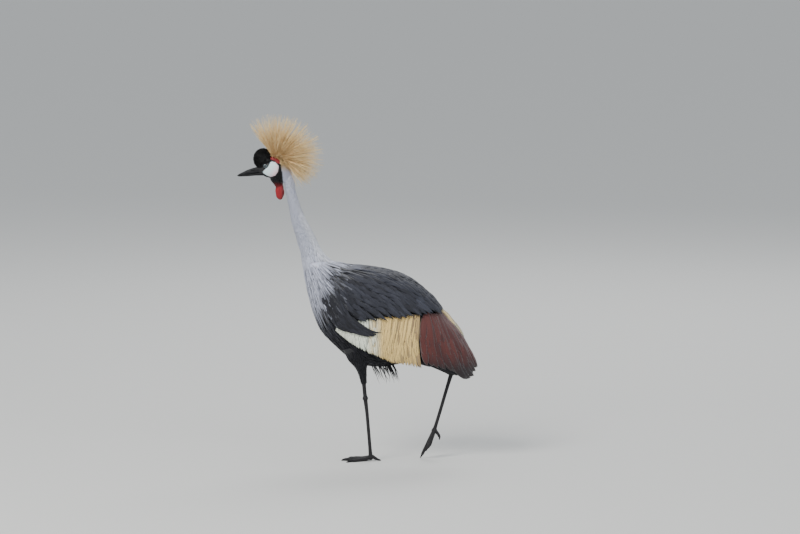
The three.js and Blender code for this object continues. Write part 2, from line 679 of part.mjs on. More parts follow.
bothSides((name, side) => {
  const arm = slab(region(armTop, armLow), side, { lift: () => -18, thick: () => 21, columns: 4, rows: 2 });
  node("wing_arm_" + name, arm.subtract(bodyKeepOut), slate);

  // Straw plumes: long ones down to the wing's edge, and a short tier over their roots.
  const strawAt = region(strawRoots, strawTips);
  const strawBed = { lift: () => -8, thick: () => 8.6, reach: 0.25, columns: 4, rows: 1 };
  const strawPad = slab(strawAt, side, strawBed);
  const strawFeathers = [
    { count: 8, from: 0.08, to: 1, tilt: 1.7, lift: rising(-10, -7) },
    { count: 6, from: 0.03, to: 0.6, tilt: 1.5, lift: rising(-9.5, -4.2) },
  ].flatMap((row) => featherRow(strawAt, side, { width: 22, jitter: 0.12, ...row }));
  node("coverts_straw_" + name, union([strawPad, ...strawFeathers]), straw);

  // White coverts in two tiers, which slope back towards the straw plumes.
  const whiteAt = region(whiteRoots, whiteTips);
  const whiteBed = { lift: () => -7, thick: () => 9.6, reach: 0.4, columns: 3, rows: 1 };
  const whitePad = slab(whiteAt, side, whiteBed);
  const whiteFeather = { width: 23, tilt: 1.6, jitter: 0.12, shape: shortShape };
  const whiteFeathers = [
    { ...whiteFeather, count: 6, from: 0.34, to: 1, drift: 0.1, lift: rising(-9, -6.4) },
    { ...whiteFeather, count: 5, from: 0.2, to: 0.68, drift: 0.1, lift: rising(-9, -4.6, -3.2) },
  ].flatMap((row) => featherRow(whiteAt, side, row));
  node("coverts_white_" + name, union([whitePad, ...whiteFeathers]).subtract(bodyKeepOut), white);

  // Chestnut secondaries droop behind, the inner ones along the ridge, with shorter tertials over them.
  const chestnutAt = region(chestnutRoots, chestnutTips);
  const secondaryBed = { lift: () => -9, thick: () => 7, reach: 0.13, columns: 5, rows: 1 };
  const secondaryPad = slab(chestnutAt, side, secondaryBed);
  const secondaryFeathers = [
    { count: 7, from: 0.07, to: 1, width: 31, lift: rising(-12, -5.8, -4.6) },
    { count: 5, from: 0.1, to: 0.64, width: 30, lift: rising(-12, -1.8, -1) },
  ].flatMap((row) => featherRow(chestnutAt, side, { shape: droopShape, tilt: 1.8, jitter: 0.1, ...row }));
  node("secondaries_" + name, union([secondaryPad, ...secondaryFeathers]), chestnut);

  // Black primaries lie under them and show at the lower edge.
  const primaryAt = region(primaryRoots, primaryTips);
  const primaryLift = (v, s) => mix(-19, -10.5, behindTrunk(s));
  const primaryBed = { lift: primaryLift, thick: () => 4, reach: 0.16, columns: 2, rows: 1 };
  const primaryPad = slab(primaryAt, side, primaryBed);
  const primary = { width: 23, tilt: 1.9, jitter: 0.1, lift: (t, s) => primaryLift(t, s) - 2 };
  const primaryFeathers = featherRow(primaryAt, side, { count: 6, from: 0.06, to: 1, ...primary });
  node("primaries_" + name, union([primaryPad, ...primaryFeathers]), black);

  // Slate scapulars run back along the body in tiers; the last ends in the lobes over the white and straw.
  const slateAt = region(slateRoots, slateTips);
  const slateDepth = (v) => mix(11.4, 3, ease(v, 0.06, 0.2));
  const slateBed = { lift: () => -3.6, thick: slateDepth, reach: 0.66, columns: 5, rows: 4 };
  const slatePad = slab(slateAt, side, slateBed);
  const scapulars = [
    { count: 6, from: 0.6, to: 1, width: 40, lift: rising(-5.6, -1.4, -0.6) },
    { count: 6, from: 0.34, to: 0.76, width: 40, lift: rising(-5.6, -0.4, 2.4) },
    { count: 6, from: 0.06, to: 0.5, width: 40, lift: rising(-5.6, 0.2, 3.4) },
  ].flatMap((tier) => featherRow(slateAt, side, { tilt: -1.7, jitter: 0.1, shape: shortShape, ...tier }));
  node("scapulars_" + name, union([slatePad, ...scapulars]).subtract(bodyKeepOut), slate);
});

// The mantle: tiers of broad feathers down the middle of the back, between the scapulars.
const mantleAt = region([[1.2, -0.4], [1.2, 0], [1.2, 0.4]], [[9.4, -0.36], [9.4, 0], [9.4, 0.36]]);
const mantlePad = slab(mantleAt, RIGHT, {
  lift: () => -2.6,
  thick: (v) => mix(12, 3, ease(v, 0.6, 0.8)),
  reach: 0.8,
  columns: 2,
  rows: 5,
});
const mantleFeather = { width: 28, tilt: 1.7, jitter: 0.1, shape: shortShape, lift: rising(-4.6, 0.4, 2.8) };
const mantleFeathers = [
  { count: 3, from: 0.74, to: 1.03 },
  { count: 3, from: 0.52, to: 0.82 },
  { count: 3, from: 0.3, to: 0.6 },
  { count: 3, from: 0.08, to: 0.38 },
].flatMap((tier) => featherRow(mantleAt, RIGHT, { ...mantleFeather, ...tier }));
node("mantle", union([mantlePad, ...mantleFeathers]).subtract(bodyKeepOut), slate);

// Legs: feathered thigh, bare shank with the knob of the ankle, tarsus, foot and claws. A walking crane
// swings each foot in under itself, so hip and foot have each their own distance from the middle plane.
// Places are [x, z] or, for the toes, [x, y, z], with y measured outward from the foot; the radii
// follow.
const legs = {
  left: {
    side: LEFT,
    hipOut: 30,
    footOut: 14,
    thigh: [[-6, 356, 44, 26], [4, 318, 34, 24], [10, 290, 18, 17], [15, 262, 12, 12], [18, 236, 8, 8.5]],
    shank: [[17.4, 244, 6.4, 6], [19.5, 218, 6, 5.4], [22, 192, 7, 6.5]],
    tarsus: [
      [22, 192, 6.2, 5.8],
      [27, 149, 5.4, 4.8],
      [32, 90, 5.2, 4.6],
      [36, 40, 5.4, 5],
      [38, 12, 6.5, 7],
    ],
    ball: [38, 11],
    toes: {
      middle: [
        [38, 0, 11, 7],
        [12, 0, 6.2, 6.6],
        [-14, 1, 5, 5.6],
        [-38, 1, 4, 4.6],
        [-44, 1, 3.6, 4],
        [-52, 1, 1.4, 1.6],
      ],
      inner: [
        [36, -2, 11, 6.5],
        [16, -14, 6, 6.2],
        [-4, -27, 4.8, 5.2],
        [-22, -38, 3.9, 4.4],
        [-33, -45, 1.4, 1.6],
      ],
      outer: [
        [36, 2, 11, 6.5],
        [16, 13, 6, 6.2],
        [-6, 25, 4.8, 5.2],
        [-24, 34, 3.9, 4.4],
        [-36, 40, 1.4, 1.6],
      ],
      hind: [[42, 0, 14, 6], [52, 1, 8, 5], [61, 2, 3.8, 4.1], [70, 3, 1.4, 1.6]],
    },
  },
  right: {
    side: RIGHT,
    hipOut: 30,
    footOut: 34,
    thigh: [
      [92, 350, 30, 24],
      [130, 330, 24, 20],
      [170, 312, 16, 15],
      [202, 300, 11, 11],
      [226, 290, 8, 8.5],
    ],
    shank: [[219, 292.8, 6.4, 6], [254, 277, 6, 5.4], [285, 262, 7, 6.5]],
    tarsus: [
      [285, 262, 6.2, 5.8],
      [271, 215, 5.4, 4.8],
      [253, 153, 5.2, 4.6],
      [239, 106, 5.4, 5],
      [233.5, 87, 6.5, 7],
    ],
    ball: [233.5, 86],
    toes: {
      middle: [
        [233, 0, 86, 6.6],
        [219, 0, 58, 6],
        [206, 0, 32, 5.2],
        [197, 0, 14, 4.4],
        [195, 0, 10, 3.8],
        [190, 0, 0.8, 2],
      ],
      inner: [
        [232, -3, 85, 6.2],
        [221, -12, 60, 5.4],
        [213, -20, 38, 4.4],
        [211, -21.5, 34, 3.8],
        [208, -24, 26, 1.2],
      ],
      outer: [
        [233, 3, 85, 6.2],
        [226, 13, 60, 5.4],
        [221, 21, 40, 4.4],
        [219.6, 22.5, 36, 3.8],
        [217, 25, 28, 1.2],
      ],
      hind: [
        [238, 0, 84, 5.6],
        [246, 0, 74, 4.6],
        [249, 0, 67, 4],
        [249.5, 0, 64, 3.4],
        [249, 0, 57, 1.2],
      ],
    },
  },
};
const hipHeight = 330;
const sideways = (leg, z) => {
  const footHeight = leg.ball[1];
  return leg.side * mix(leg.footOut, leg.hipOut, clamp((z - footHeight) / (hipHeight - footHeight), 0, 1));
};
const floor = cutAt([0, 0, -gap / 2], [0, 0, 1]);
const ankleKnob = (leg, extra = 0) => {
  const [x, z] = leg.tarsus[0];
  return ball([x, sideways(leg, z), z], [9.5 + extra, 8.5 + extra, 10 + extra], 6, 8);
};
const footBall = (leg, extra = 0) => {
  const [x, z] = leg.ball;
  return ball([x, sideways(leg, z), z], [9.4 + extra, 9 + extra, 9.4 + extra], 6, 8);
};

for (const [name, leg] of Object.entries(legs)) {
  const placed = (rows) => rows.map(([x, z, deep, wide]) => [x, sideways(leg, z), z, deep, wide]);
  const [shankStart, shankNext] = placed(leg.shank).map(([x, y, z]) => v3(x, y, z));
  const down = shankNext.clone().sub(shankStart);
  const thighCut = cutAt(shankStart.clone().addScaledVector(down, 0.1).toArray(), down.toArray());
  const thigh = limb(placed(leg.thigh), { sides: 12 });
  node("thigh_" + name, thigh.intersect(below(thighCut)).subtract(bodyKeepOut), slate);
  const shank = limb(placed(leg.shank)).intersect(above(thighCut));
  node("shank_" + name, shank.add(ankleKnob(leg)), scaleBlack);
  const tarsus = limb(placed(leg.tarsus));
  const shankKeepOut = limb(placed(leg.shank), { extra: gap }).add(ankleKnob(leg, gap));
  node("tarsus_" + name, tarsus.subtract(shankKeepOut).subtract(footBall(leg, gap)), scaleBlack);

  // Each toe is modelled with its claw and parted from it.
  const toes = Object.entries(leg.toes).map(([toe, rows]) => {
    const path = rows.map(([x, y, z, r]) => [x, leg.side * (leg.footOut + y), z, r, r]);
    const [from, to] = [v3(...path[path.length - 3]), v3(...path[path.length - 2])];
    const cut = { point: from.clone().lerp(to, 0.5), normal: to.clone().sub(from).normalize() };
    const whole = limb(path, { sides: 6 }).intersect(above(floor));
    node("claw_" + name + "_" + toe, whole.intersect(above(cut)), horn);
    return whole.intersect(below(cut));
  });
  const foot = union([...toes, footBall(leg).intersect(above(floor))]);
  node("foot_" + name, foot, scaleBlack);
}

export default crane;
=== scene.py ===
import math

import bpy
import numpy as np
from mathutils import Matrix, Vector


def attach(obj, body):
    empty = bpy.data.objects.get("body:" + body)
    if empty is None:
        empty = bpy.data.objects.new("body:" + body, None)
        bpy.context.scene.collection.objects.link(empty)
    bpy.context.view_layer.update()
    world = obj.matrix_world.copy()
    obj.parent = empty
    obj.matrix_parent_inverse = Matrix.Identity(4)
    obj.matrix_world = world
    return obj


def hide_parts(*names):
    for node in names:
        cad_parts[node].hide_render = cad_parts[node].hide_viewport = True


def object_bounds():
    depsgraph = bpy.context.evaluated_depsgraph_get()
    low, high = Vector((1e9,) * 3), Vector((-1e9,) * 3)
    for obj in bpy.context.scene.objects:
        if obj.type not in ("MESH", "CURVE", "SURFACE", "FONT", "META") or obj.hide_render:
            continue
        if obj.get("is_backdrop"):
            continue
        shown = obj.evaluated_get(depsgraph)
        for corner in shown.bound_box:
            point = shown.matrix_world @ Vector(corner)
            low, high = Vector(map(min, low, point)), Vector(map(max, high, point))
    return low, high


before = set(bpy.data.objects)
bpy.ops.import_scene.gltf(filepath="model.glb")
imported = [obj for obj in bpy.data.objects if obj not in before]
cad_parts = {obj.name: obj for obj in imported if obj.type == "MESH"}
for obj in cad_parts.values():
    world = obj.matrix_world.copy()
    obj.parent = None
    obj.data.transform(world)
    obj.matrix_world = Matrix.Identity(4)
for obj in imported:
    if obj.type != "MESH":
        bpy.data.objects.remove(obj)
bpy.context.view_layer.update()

# The trunk and neck under the plumage.
# In life this is skin over muscle and a light skeleton, and every feather grows out of it. Here it is one
# closed skin over trunk, neck, head, wing arms and thighs, fused without a seam, with the bare face on it.
MM = 0.001
NEAR, FAR = -1, 1
SIDES = ((NEAR, "left"), (FAR, "right"))


def smooth(x, low, high):
    t = np.clip((np.asarray(x, float) - low) / (high - low), 0, 1)
    return t * t * (3 - 2 * t)


def mix(a, b, t):
    return a + (b - a) * t


def through(rows, t):
    """Catmull-Rom through rows of numbers, at every t of an array."""
    rows = np.asarray(rows, float)
    last = len(rows) - 1
    t = np.clip(np.asarray(t, float), 0, last)
    i = np.minimum(np.floor(t).astype(int), last - 1)
    f = (t - i)[..., None]
    a, b, c, d = (rows[np.clip(i + k, 0, last)] for k in (-1, 0, 1, 2))
    return 0.5 * (2 * b + (c - a) * f + (2 * a - 5 * b + 4 * c - d) * f**2 + (3 * b - a - 3 * c + d) * f**3)


def unit(v):
    return v / np.maximum(np.linalg.norm(v, axis=-1, keepdims=True), 1e-9)


def circle(sides):
    """Angles all the way round."""
    return np.linspace(0, 2 * math.pi, sides, endpoint=False)


def put(name, data):
    """An object in the scene for new data."""
    thing = bpy.data.objects.new(name, data)
    bpy.context.scene.collection.objects.link(thing)
    return thing


def mesh_piece(name, points, loops, totals):
    """A mesh object from points, the corners of its faces in a row, and how many corners each face has."""
    mesh = bpy.data.meshes.new(name)
    points = np.asarray(points, np.float32).reshape(-1, 3)
    mesh.vertices.add(len(points))
    mesh.vertices.foreach_set("co", points.ravel())
    mesh.loops.add(len(loops))
    mesh.loops.foreach_set("vertex_index", loops.astype(np.int32))
    mesh.polygons.add(len(totals))
    starts = np.concatenate([[0], np.cumsum(totals)[:-1]]).astype(np.int32)
    mesh.polygons.foreach_set("loop_start", starts)
    mesh.polygons.foreach_set("loop_total", totals.astype(np.int32))
    mesh.polygons.foreach_set("use_smooth", np.full(len(totals), True))
    mesh.update(calc_edges=True)
    mesh.validate()
    return put(name, mesh)


def new_mesh(name, points, polygons):
    """A mesh object from an array of points and a list of polygons."""
    totals = np.array([len(p) for p in polygons], np.int32)
    return mesh_piece(name, points, np.concatenate([np.asarray(p, np.int32) for p in polygons]), totals)


def tube(name, rings):
    """A closed skin over rings (rows, sides, 3), capped at both ends."""
    rows, sides = rings.shape[:2]
    ids = np.arange(rows * sides).reshape(rows, sides)
    side = np.stack([ids[:-1], np.roll(ids, -1, 1)[:-1], np.roll(ids, -1, 1)[1:], ids[1:]], -1).reshape(-1, 4)
    return new_mesh(name, rings, list(side) + [ids[0][::-1], ids[-1]])


def heading(rows, t):
    """The direction in which rows of x, y and z run at t."""
    return unit(through(rows, t + 0.05)[..., :3] - through(rows, t - 0.05)[..., :3])


def limb_surface(rows):
    """The surface of a limb over rows of x, y, z, depth radius and width radius."""
    def at(t, angle, side, extra=0.0):
        p = through(rows, t)
        along = heading(rows, t)
        across = unit(np.array([0.0, 1, 0]) - along * along[..., 1:2])
        up = np.cross(across, along)
        out = up * (np.cos(angle) * (p[..., 3] + extra))[..., None]
        return p[..., :3] + out + across * (np.sin(angle) * side * (p[..., 4] + extra))[..., None]
    return at


def turned_rings(surface, t, sides, extra):
    """Rings all the way round from a surface given for one side."""
    a = circle(sides)[None]
    t = np.asarray(t)[:, None]
    return surface(t + 0 * a, a + 0 * t, np.ones_like(a + t), extra) * MM


def limb_rings(rows, sides=32, steps=6, extra=0.0):
    """Rings round a limb, with steps of them from row to row."""
    last = len(rows) - 1
    return turned_rings(limb_surface(rows), np.linspace(0, last, last * steps + 1), sides, extra)


# Sections of the plumage in millimetres: front x and z, back x and z, half width, roundness below.
ENVELOPE = np.array([
    [-171, 610, -84, 618, 42, 1], [-161, 560, -32, 602, 64, 1], [-150, 510, 20, 597, 82, 1],
    [-136, 458, 72, 590, 94, 1], [-110, 398, 122, 577, 101, 0.95], [-65, 350, 168, 555, 104, 0.88],
    [-12, 294, 205, 526, 105, 0.8], [50, 270, 234, 498, 104, 0.72], [114, 270, 256, 469, 99, 0.66],
    [172, 262, 278, 438, 91, 0.64], [220, 256, 300, 411, 79, 0.64], [266, 244, 322, 383, 64, 0.66],
    [302, 234, 343, 346, 47, 0.7], [332, 238, 358, 314, 30, 0.8], [356, 250, 368, 290, 14, 0.9],
])
UPPER_ROUNDNESS = 0.88
LAST_SECTION = len(ENVELOPE) - 1


def envelope(s, phi, side):
    """Points of the folded bird's outer form at section s and angle phi from the ridge, in millimetres."""
    fx, fz, bx, bz, wide, roundness = np.moveaxis(through(ENVELOPE, s), -1, 0)
    c, y = np.cos(phi), np.sin(phi)
    power = 2 / np.where(c > 0, UPPER_ROUNDNESS, roundness)
    reach = (np.abs(c) ** power + np.abs(y) ** power) ** (-1 / power)
    up = (1 + c * reach) / 2
    return np.stack([mix(fx, bx, up), side * wide * y * reach, mix(fz, bz, up)], -1)


def outward(surface, s, phi, side):
    """The surface's outward direction at each place."""
    d = 0.03
    along = surface(s + d, phi, side) - surface(s - d, phi, side)
    around = surface(s, phi + d, side) - surface(s, phi - d, side)
    normal = unit(np.cross(along, around))
    middle = (surface(s, phi * 0, side) + surface(s, phi * 0 + math.pi, side)) / 2
    sign = np.sign(np.sum((surface(s, phi, side) - middle) * normal, -1, keepdims=True))
    return normal * np.where(sign == 0, 1, sign)


def locate(x, z):
    """Section and angle of the envelope under a point of the side view."""
    low, high = 0.0, float(LAST_SECTION)
    for _ in range(40):
        s = (low + high) / 2
        fx, fz, bx, bz = through(ENVELOPE, s)[:4]
        if (bx - fx) * (z - fz) - (bz - fz) * (x - fx) > 0:
            high = s
        else:
            low = s
    s = (low + high) / 2
    fx, fz, bx, bz, _, roundness = through(ENVELOPE, s)
    length = math.hypot(bx - fx, bz - fz)
    along = ((x - fx) * (bx - fx) + (z - fz) * (bz - fz)) / length
    c = min(1.0, max(-1.0, 2 * along / length - 1))
    power = 2 / (UPPER_ROUNDNESS if c > 0 else roundness)
    return [s, math.atan2((1 - abs(c) ** power) ** (1 / power), c)]


NECK_ROWS = [
    [-215, 0, 882, 15, 13], [-210, 0, 860, 16, 14], [-206, 0, 830, 15, 14], [-198, 0, 799, 16, 15],
    [-190, 0, 769, 18, 17], [-181, 0, 738, 21.5, 19.5], [-169, 0, 708, 24.5, 22], [-157, 0, 677, 28, 25],
    [-146, 0, 648, 30, 30], [-133, 0, 613, 38, 37], [-112, 0, 575, 48, 50],
]
TRUNK_INSET = [
    [1, 3, 0.97], [1, 8, 0.93], [1, 12, 0.88], [1, 13, 0.84], [1, 13, 0.81], [2, 13, 0.78], [12, 15, 0.77],
    [28, 18, 0.75], [40, 24, 0.66], [54, 34, 0.5], [74, 38, 0.3],
]
TRUNK_END = 9.8


def trunk(s, phi, side, extra=0.0):
    """Points of the trunk, which lies inside the plumage, in millimetres."""
    fx, fz, bx, bz, wide = np.moveaxis(through(ENVELOPE, s)[..., :5], -1, 0)
    low, high, share = np.moveaxis(through(TRUNK_INSET, s), -1, 0)
    length = np.hypot(bx - fx, bz - fz)
    ux, uz = (bx - fx) / length, (bz - fz) / length
    deep = (length - low - high) / 2
    mx, mz = fx + ux * (low + deep), fz + uz * (low + deep)
    c, y = np.cos(phi), np.sin(phi)
    return np.stack([mx + ux * c * (deep + extra), side * y * (share * wide + extra),
                     mz + uz * c * (deep + extra)], -1)


def neck(t, angle, side, extra=0.0):
    """Points of the neck at row t and angle from its back, in millimetres."""
    at = through(NECK_ROWS, t)
    y = np.array([0.0, 1, 0])
    up = np.cross(y, heading(NECK_ROWS, t))
    up = np.where(up[..., 0:1] < 0, -up, up)
    c, w = np.cos(angle)[..., None], np.sin(angle)[..., None]
    wide = at[..., 4:5] + extra
    return at[..., :3] + up * c * (at[..., 3:4] + extra) + y * w * wide * np.asarray(side)[..., None]


HEAD_ROWS = [
    [-303, 903, 882, 8], [-292, 914, 877, 13], [-280, 925, 872, 17], [-266, 934, 868, 20],
    [-250, 938, 864, 21.5], [-235, 935, 858, 21], [-222, 924, 850, 18], [-211, 906, 850, 13],
    [-203, 890, 862, 7],
]


def head(t, angle, side, extra=0.0):
    """Points of the head at row t and angle from its top, in millimetres."""
    x, top, bottom, wide = np.moveaxis(through(HEAD_ROWS, t), -1, 0)
    c, w = np.cos(angle), np.sin(angle)
    return np.stack([x, w * (wide + extra) * side, (top + bottom) / 2 + c * ((top - bottom) / 2 + extra)], -1)


THROAT_ROWS = [[-262, 0, 872, 9, 12], [-252, 0, 862, 11, 11.5], [-243, 0, 852, 12, 10], [-237, 0, 840, 11, 8]]
THIGHS = {
    "left": [[-6, -28, 356, 42, 24], [4, -28, 318, 32, 22], [10, -27, 290, 16.5, 15.5],
             [15, -26, 262, 10.5, 10.5], [18, -25, 238, 7.5, 7.5]],
    "right": [[92, 30, 350, 28, 22], [130, 30, 330, 22, 18], [170, 30, 312, 14.5, 13.5],
              [202, 30.5, 300, 9.8, 9.8], [224, 30.8, 291, 7.4, 7.4]],
}


def ball_rings(centre, radii, rows=16, sides=24):
    v = np.linspace(0.02, math.pi - 0.02, rows)[:, None]
    u = circle(sides)[None]
    p = np.stack([np.sin(v) * np.cos(u), np.sin(v) * np.sin(u), np.cos(v) + 0 * u], -1)
    return (np.array(centre) + p * np.array(radii)) * MM


def slab_rings(s, low, high, top, bottom, side):
    """Closed sections of a flat slab inside the plumage between two angles."""
    rings = []
    for k, section in enumerate(s):
        phi = np.linspace(low[k], high[k], 8)
        where = section + 0 * phi
        n = outward(envelope, where, phi, side)
        p = envelope(where, phi, side)
        rings.append(np.concatenate([p + n * top[k], (p + n * bottom[k])[::-1]]))
    return np.array(rings) * MM


SKIN_GRAIN = 0.0018
flesh = [
    tube("trunk_form", turned_rings(trunk, np.linspace(0, TRUNK_END, 40), 64, -1.5)),
    tube("neck_form", turned_rings(neck, np.linspace(0, 10, 60), 48, -1.2)),
    tube("head_form", turned_rings(head, np.linspace(0, 8, 40), 48, -0.6)),
    tube("throat_form", limb_rings(THROAT_ROWS, extra=-0.8)),
    tube("cushion_form", ball_rings([-289, 0, 926], [25, 17, 28])),
    tube("pad_form", limb_rings([[-262, 0, 932, 5, 7], [-250, 0, 931, 9, 9], [-234, 0, 927, 10, 10],
                                 [-220, 0, 916, 11, 9], [-209, 0, 900, 9, 7]])),
]
for rows in THIGHS.values():
    flesh.append(tube("thigh_form", limb_rings(rows)))
for way in (NEAR, FAR):
    sections = np.linspace(2.2, 9.7, 16)
    inner = np.interp(sections, [2.2, 7.5, 9.7], [0.7, 0.5, 0.1])
    outer = np.interp(sections, [2.2, 4, 8.4, 9.7], [1.9, 2.1, 1.25, 1.0])
    top = np.interp(sections, [2.2, 7.5, 9.7], [-20, -18, -13])
    flesh.append(tube("arm_form", slab_rings(sections, inner, outer, top, top - 18, way)))

for piece in bpy.context.selected_objects:
    piece.select_set(False)
for piece in flesh:
    piece.select_set(True)
bpy.context.view_layer.objects.active = flesh[0]
bpy.ops.object.join()
skin = bpy.context.view_layer.objects.active
skin.name = "skin"
fuse = skin.modifiers.new("fuse", "REMESH")
fuse.mode = "VOXEL"
fuse.voxel_size = SKIN_GRAIN
soften = skin.modifiers.new("soften", "SMOOTH")
soften.factor = 0.5
soften.iterations = 8
fused = bpy.data.meshes.new_from_object(skin.evaluated_get(bpy.context.evaluated_depsgraph_get()))
skin.modifiers.clear()
skin.data = fused

# The bare face: smooth white skin on the cheek, tinged blue in front and pink behind, and a red patch over
# it. It is raised a little from the black plush round it.
CHEEK = np.array([[-289, 886], [-281, 876.5], [-266, 871.5], [-252, 876], [-243, 889], [-241, 906],
                  [-251, 917], [-265, 920], [-271, 911], [-274, 900], [-284, 895]])
NAPE_PATCH = np.array([[-269, 925], [-256, 920.5], [-246, 914.5], [-238, 911], [-237, 922], [-252, 932],
                       [-265, 934]])
EYE = np.array([-281.0, 11.5, 905.5])
EYE_RADIUS = 8.0
HEAD_FOOT = 845
HEAD_BACK = -195
RIDGE_HALF_WIDTH = 5
CHEEK_RAISED = 2.1
PATCH_RAISED = 1.3


def eye_distance(points):
    """How far points are from the middle of the eye on their side."""
    return np.linalg.norm(np.stack([points[:, 0], np.abs(points[:, 1]), points[:, 2]], 1) - EYE, axis=1)


def inside(points, outline):
    """How far points of the side view lie inside an outline; outside it is negative."""
    a, b = outline, np.roll(outline, -1, 0)
    edge = b - a
    rel = points[:, None] - a
    h = np.clip(np.sum(rel * edge, -1) / np.sum(edge * edge, -1), 0, 1)
    far = np.linalg.norm(rel - h[..., None] * edge, axis=-1).min(1)
    crossing = (a[:, 1] > points[:, 1:2]) != (b[:, 1] > points[:, 1:2])
    run = np.where(np.abs(edge[:, 1]) < 1e-9, 1e-9, edge[:, 1])
    at = a[:, 0] + (points[:, 1:2] - a[:, 1]) / run * edge[:, 0]
    within = (np.sum(crossing & (points[:, 0:1] < at), 1) % 2) == 1
    return np.where(within, far, -far)


def face_share(points):
    """1 on the black face and throat, 0 behind a line down from the crown, where the neck's grey begins."""
    edge = np.interp(points[:, 2], [836, 850, 864, 890, 912, 925], [-229, -230, -231, -234, -237, -237])
    under_crown = 1 - smooth(points[:, 2] + 0.55 * (points[:, 0] + 236), 919, 922) * (points[:, 0] > -267)
    return smooth(edge - points[:, 0], -1.2, 1.2) * smooth(points[:, 2], 834, 840) * under_crown


def wattle_share(points):
    """The black of the throat turns to red where the wattle begins."""
    return face_share(points) * smooth(points[:, 2], 862, 838)


def nape_tone(points):
    """The grey of the neck turns to dull gold where the crown's foot covers the nape."""
    return mix(PALE_GREY[None], GOLD[None] * 0.7, smooth(points[:, 2], 885, 915)[:, None])


def paint_points(mesh, colours):
    layer = mesh.attributes.new("tone", "FLOAT_COLOR", "POINT")
    full = np.concatenate([colours, np.ones((len(colours), 1))], 1).astype(np.float32)
    layer.data.foreach_set("color", full.ravel())


def colour(red, green, blue):
    """A colour of light from one given as it looks on a screen, 0 to 255."""
    c = np.array([red, green, blue]) / 255
    return np.where(c <= 0.04045, c / 12.92, ((c + 0.055) / 1.055) ** 2.4)


PALE_GREY = colour(188, 192, 210)
GOLD = colour(226, 192, 136)
SOOT = colour(20, 20, 24)
VELVET = colour(9, 9, 11)
CHEEK_BLUE = colour(212, 232, 236)
CHEEK_PINK = colour(232, 206, 212)
RED = colour(132, 5, 18)

count = len(skin.data.vertices)
flat = np.empty(count * 3, np.float32)
skin.data.vertices.foreach_get("co", flat)
points = flat.reshape(-1, 3).astype(float) / MM
normals = np.empty(count * 3, np.float32)
skin.data.vertex_normals.foreach_get("vector", normals)
normals = normals.reshape(-1, 3).astype(float)

side_view = points[:, [0, 2]]
on_head = (points[:, 2] > HEAD_FOOT) & (points[:, 0] < HEAD_BACK) & (np.abs(points[:, 1]) > RIDGE_HALF_WIDTH)
cheek = np.full(count, -9.0)
patch = np.full(count, -9.0)
cheek[on_head] = inside(side_view[on_head], CHEEK)
patch[on_head] = inside(side_view[on_head], NAPE_PATCH)
raised = CHEEK_RAISED * smooth(cheek, -0.6, 5) + PATCH_RAISED * smooth(patch, -0.6, 3) * (cheek < 0)
raised = raised * smooth(eye_distance(points), EYE_RADIUS, EYE_RADIUS + 3)
wrinkle = np.sin(points[:, 0] * 1.9 + np.sin(points[:, 2] * 0.8) * 1.6) * 0.09
raised = raised + wrinkle * smooth(np.maximum(cheek, patch), 0, 2)
points += normals * raised[:, None]
skin.data.vertices.foreach_set("co", (points * MM).astype(np.float32).ravel())

pink = smooth(points[:, 0] * 0.8 - points[:, 2] * 0.6, -752, -728)[:, None]
tone = np.tile(SOOT, (count, 1))
for tint, share in ((nape_tone(points), smooth(points[:, 2], 500, 580)), (VELVET, face_share(points)),
                    (RED, wattle_share(points)), (RED, smooth(patch, -0.8, 0.6)),
                    (mix(CHEEK_BLUE, CHEEK_PINK, pink), smooth(cheek, -0.8, 0.6))):
    tone = mix(tone, tint, share[:, None])
paint_points(skin.data, tone)


def nodes_of(name):
    material = bpy.data.materials.new(name)
    material.use_nodes = True
    tree = material.node_tree
    shader = tree.nodes["Principled BSDF"]
    return material, tree, shader


def link(tree, a, b):
    tree.links.new(a, b)


def set_sockets(node, values):
    for name, value in values.items():
        node.inputs[name].default_value = value


def own_space(tree):
    return tree.nodes.new("ShaderNodeTexCoord").outputs["Object"]


def noise(tree, where, scale, detail):
    """Cloudy noise from 0 to 1."""
    cloud = tree.nodes.new("ShaderNodeTexNoise")
    set_sockets(cloud, {"Scale": scale, "Detail": detail})
    link(tree, where, cloud.inputs["Vector"])
    return cloud.outputs["Fac"]


def relieve(tree, shader, height, strength, distance):
    """Gives the surface relief from a height."""
    bump = tree.nodes.new("ShaderNodeBump")
    set_sockets(bump, {"Strength": strength, "Distance": distance})
    link(tree, height, bump.inputs["Height"])
    link(tree, bump.outputs["Normal"], shader.inputs["Normal"])


def finish(thing, material, slot, *nodes):
    """Gives a piece its material and its body, and hides the solids it stands for; slot is not used."""
    thing.data.materials.append(material)
    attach(thing, "root")
    if nodes:
        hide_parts(*nodes)


def maths(tree, kind, a, b=None, c=None, clamp=False):
    node = tree.nodes.new("ShaderNodeMath")
    node.operation = kind
    node.use_clamp = clamp
    for socket, value in zip(node.inputs, (a, b, c)):
        if isinstance(value, (int, float)):
            socket.default_value = value
        elif value is not None:
            link(tree, value, socket)
    return node.outputs[0]


def tone_of(tree):
    node = tree.nodes.new("ShaderNodeAttribute")
    node.attribute_name = "tone"
    return node.outputs["Color"]


def toned(tree, factor, low, high):
    """The painted tone, darkened and lightened as a factor goes from 0 to 1."""
    scale = maths(tree, "MULTIPLY_ADD", factor, high - low, low)
    out = tree.nodes.new("ShaderNodeVectorMath")
    out.operation = "SCALE"
    link(tree, tone_of(tree), out.inputs[0])
    link(tree, scale, out.inputs["Scale"])
    return out.outputs[0]


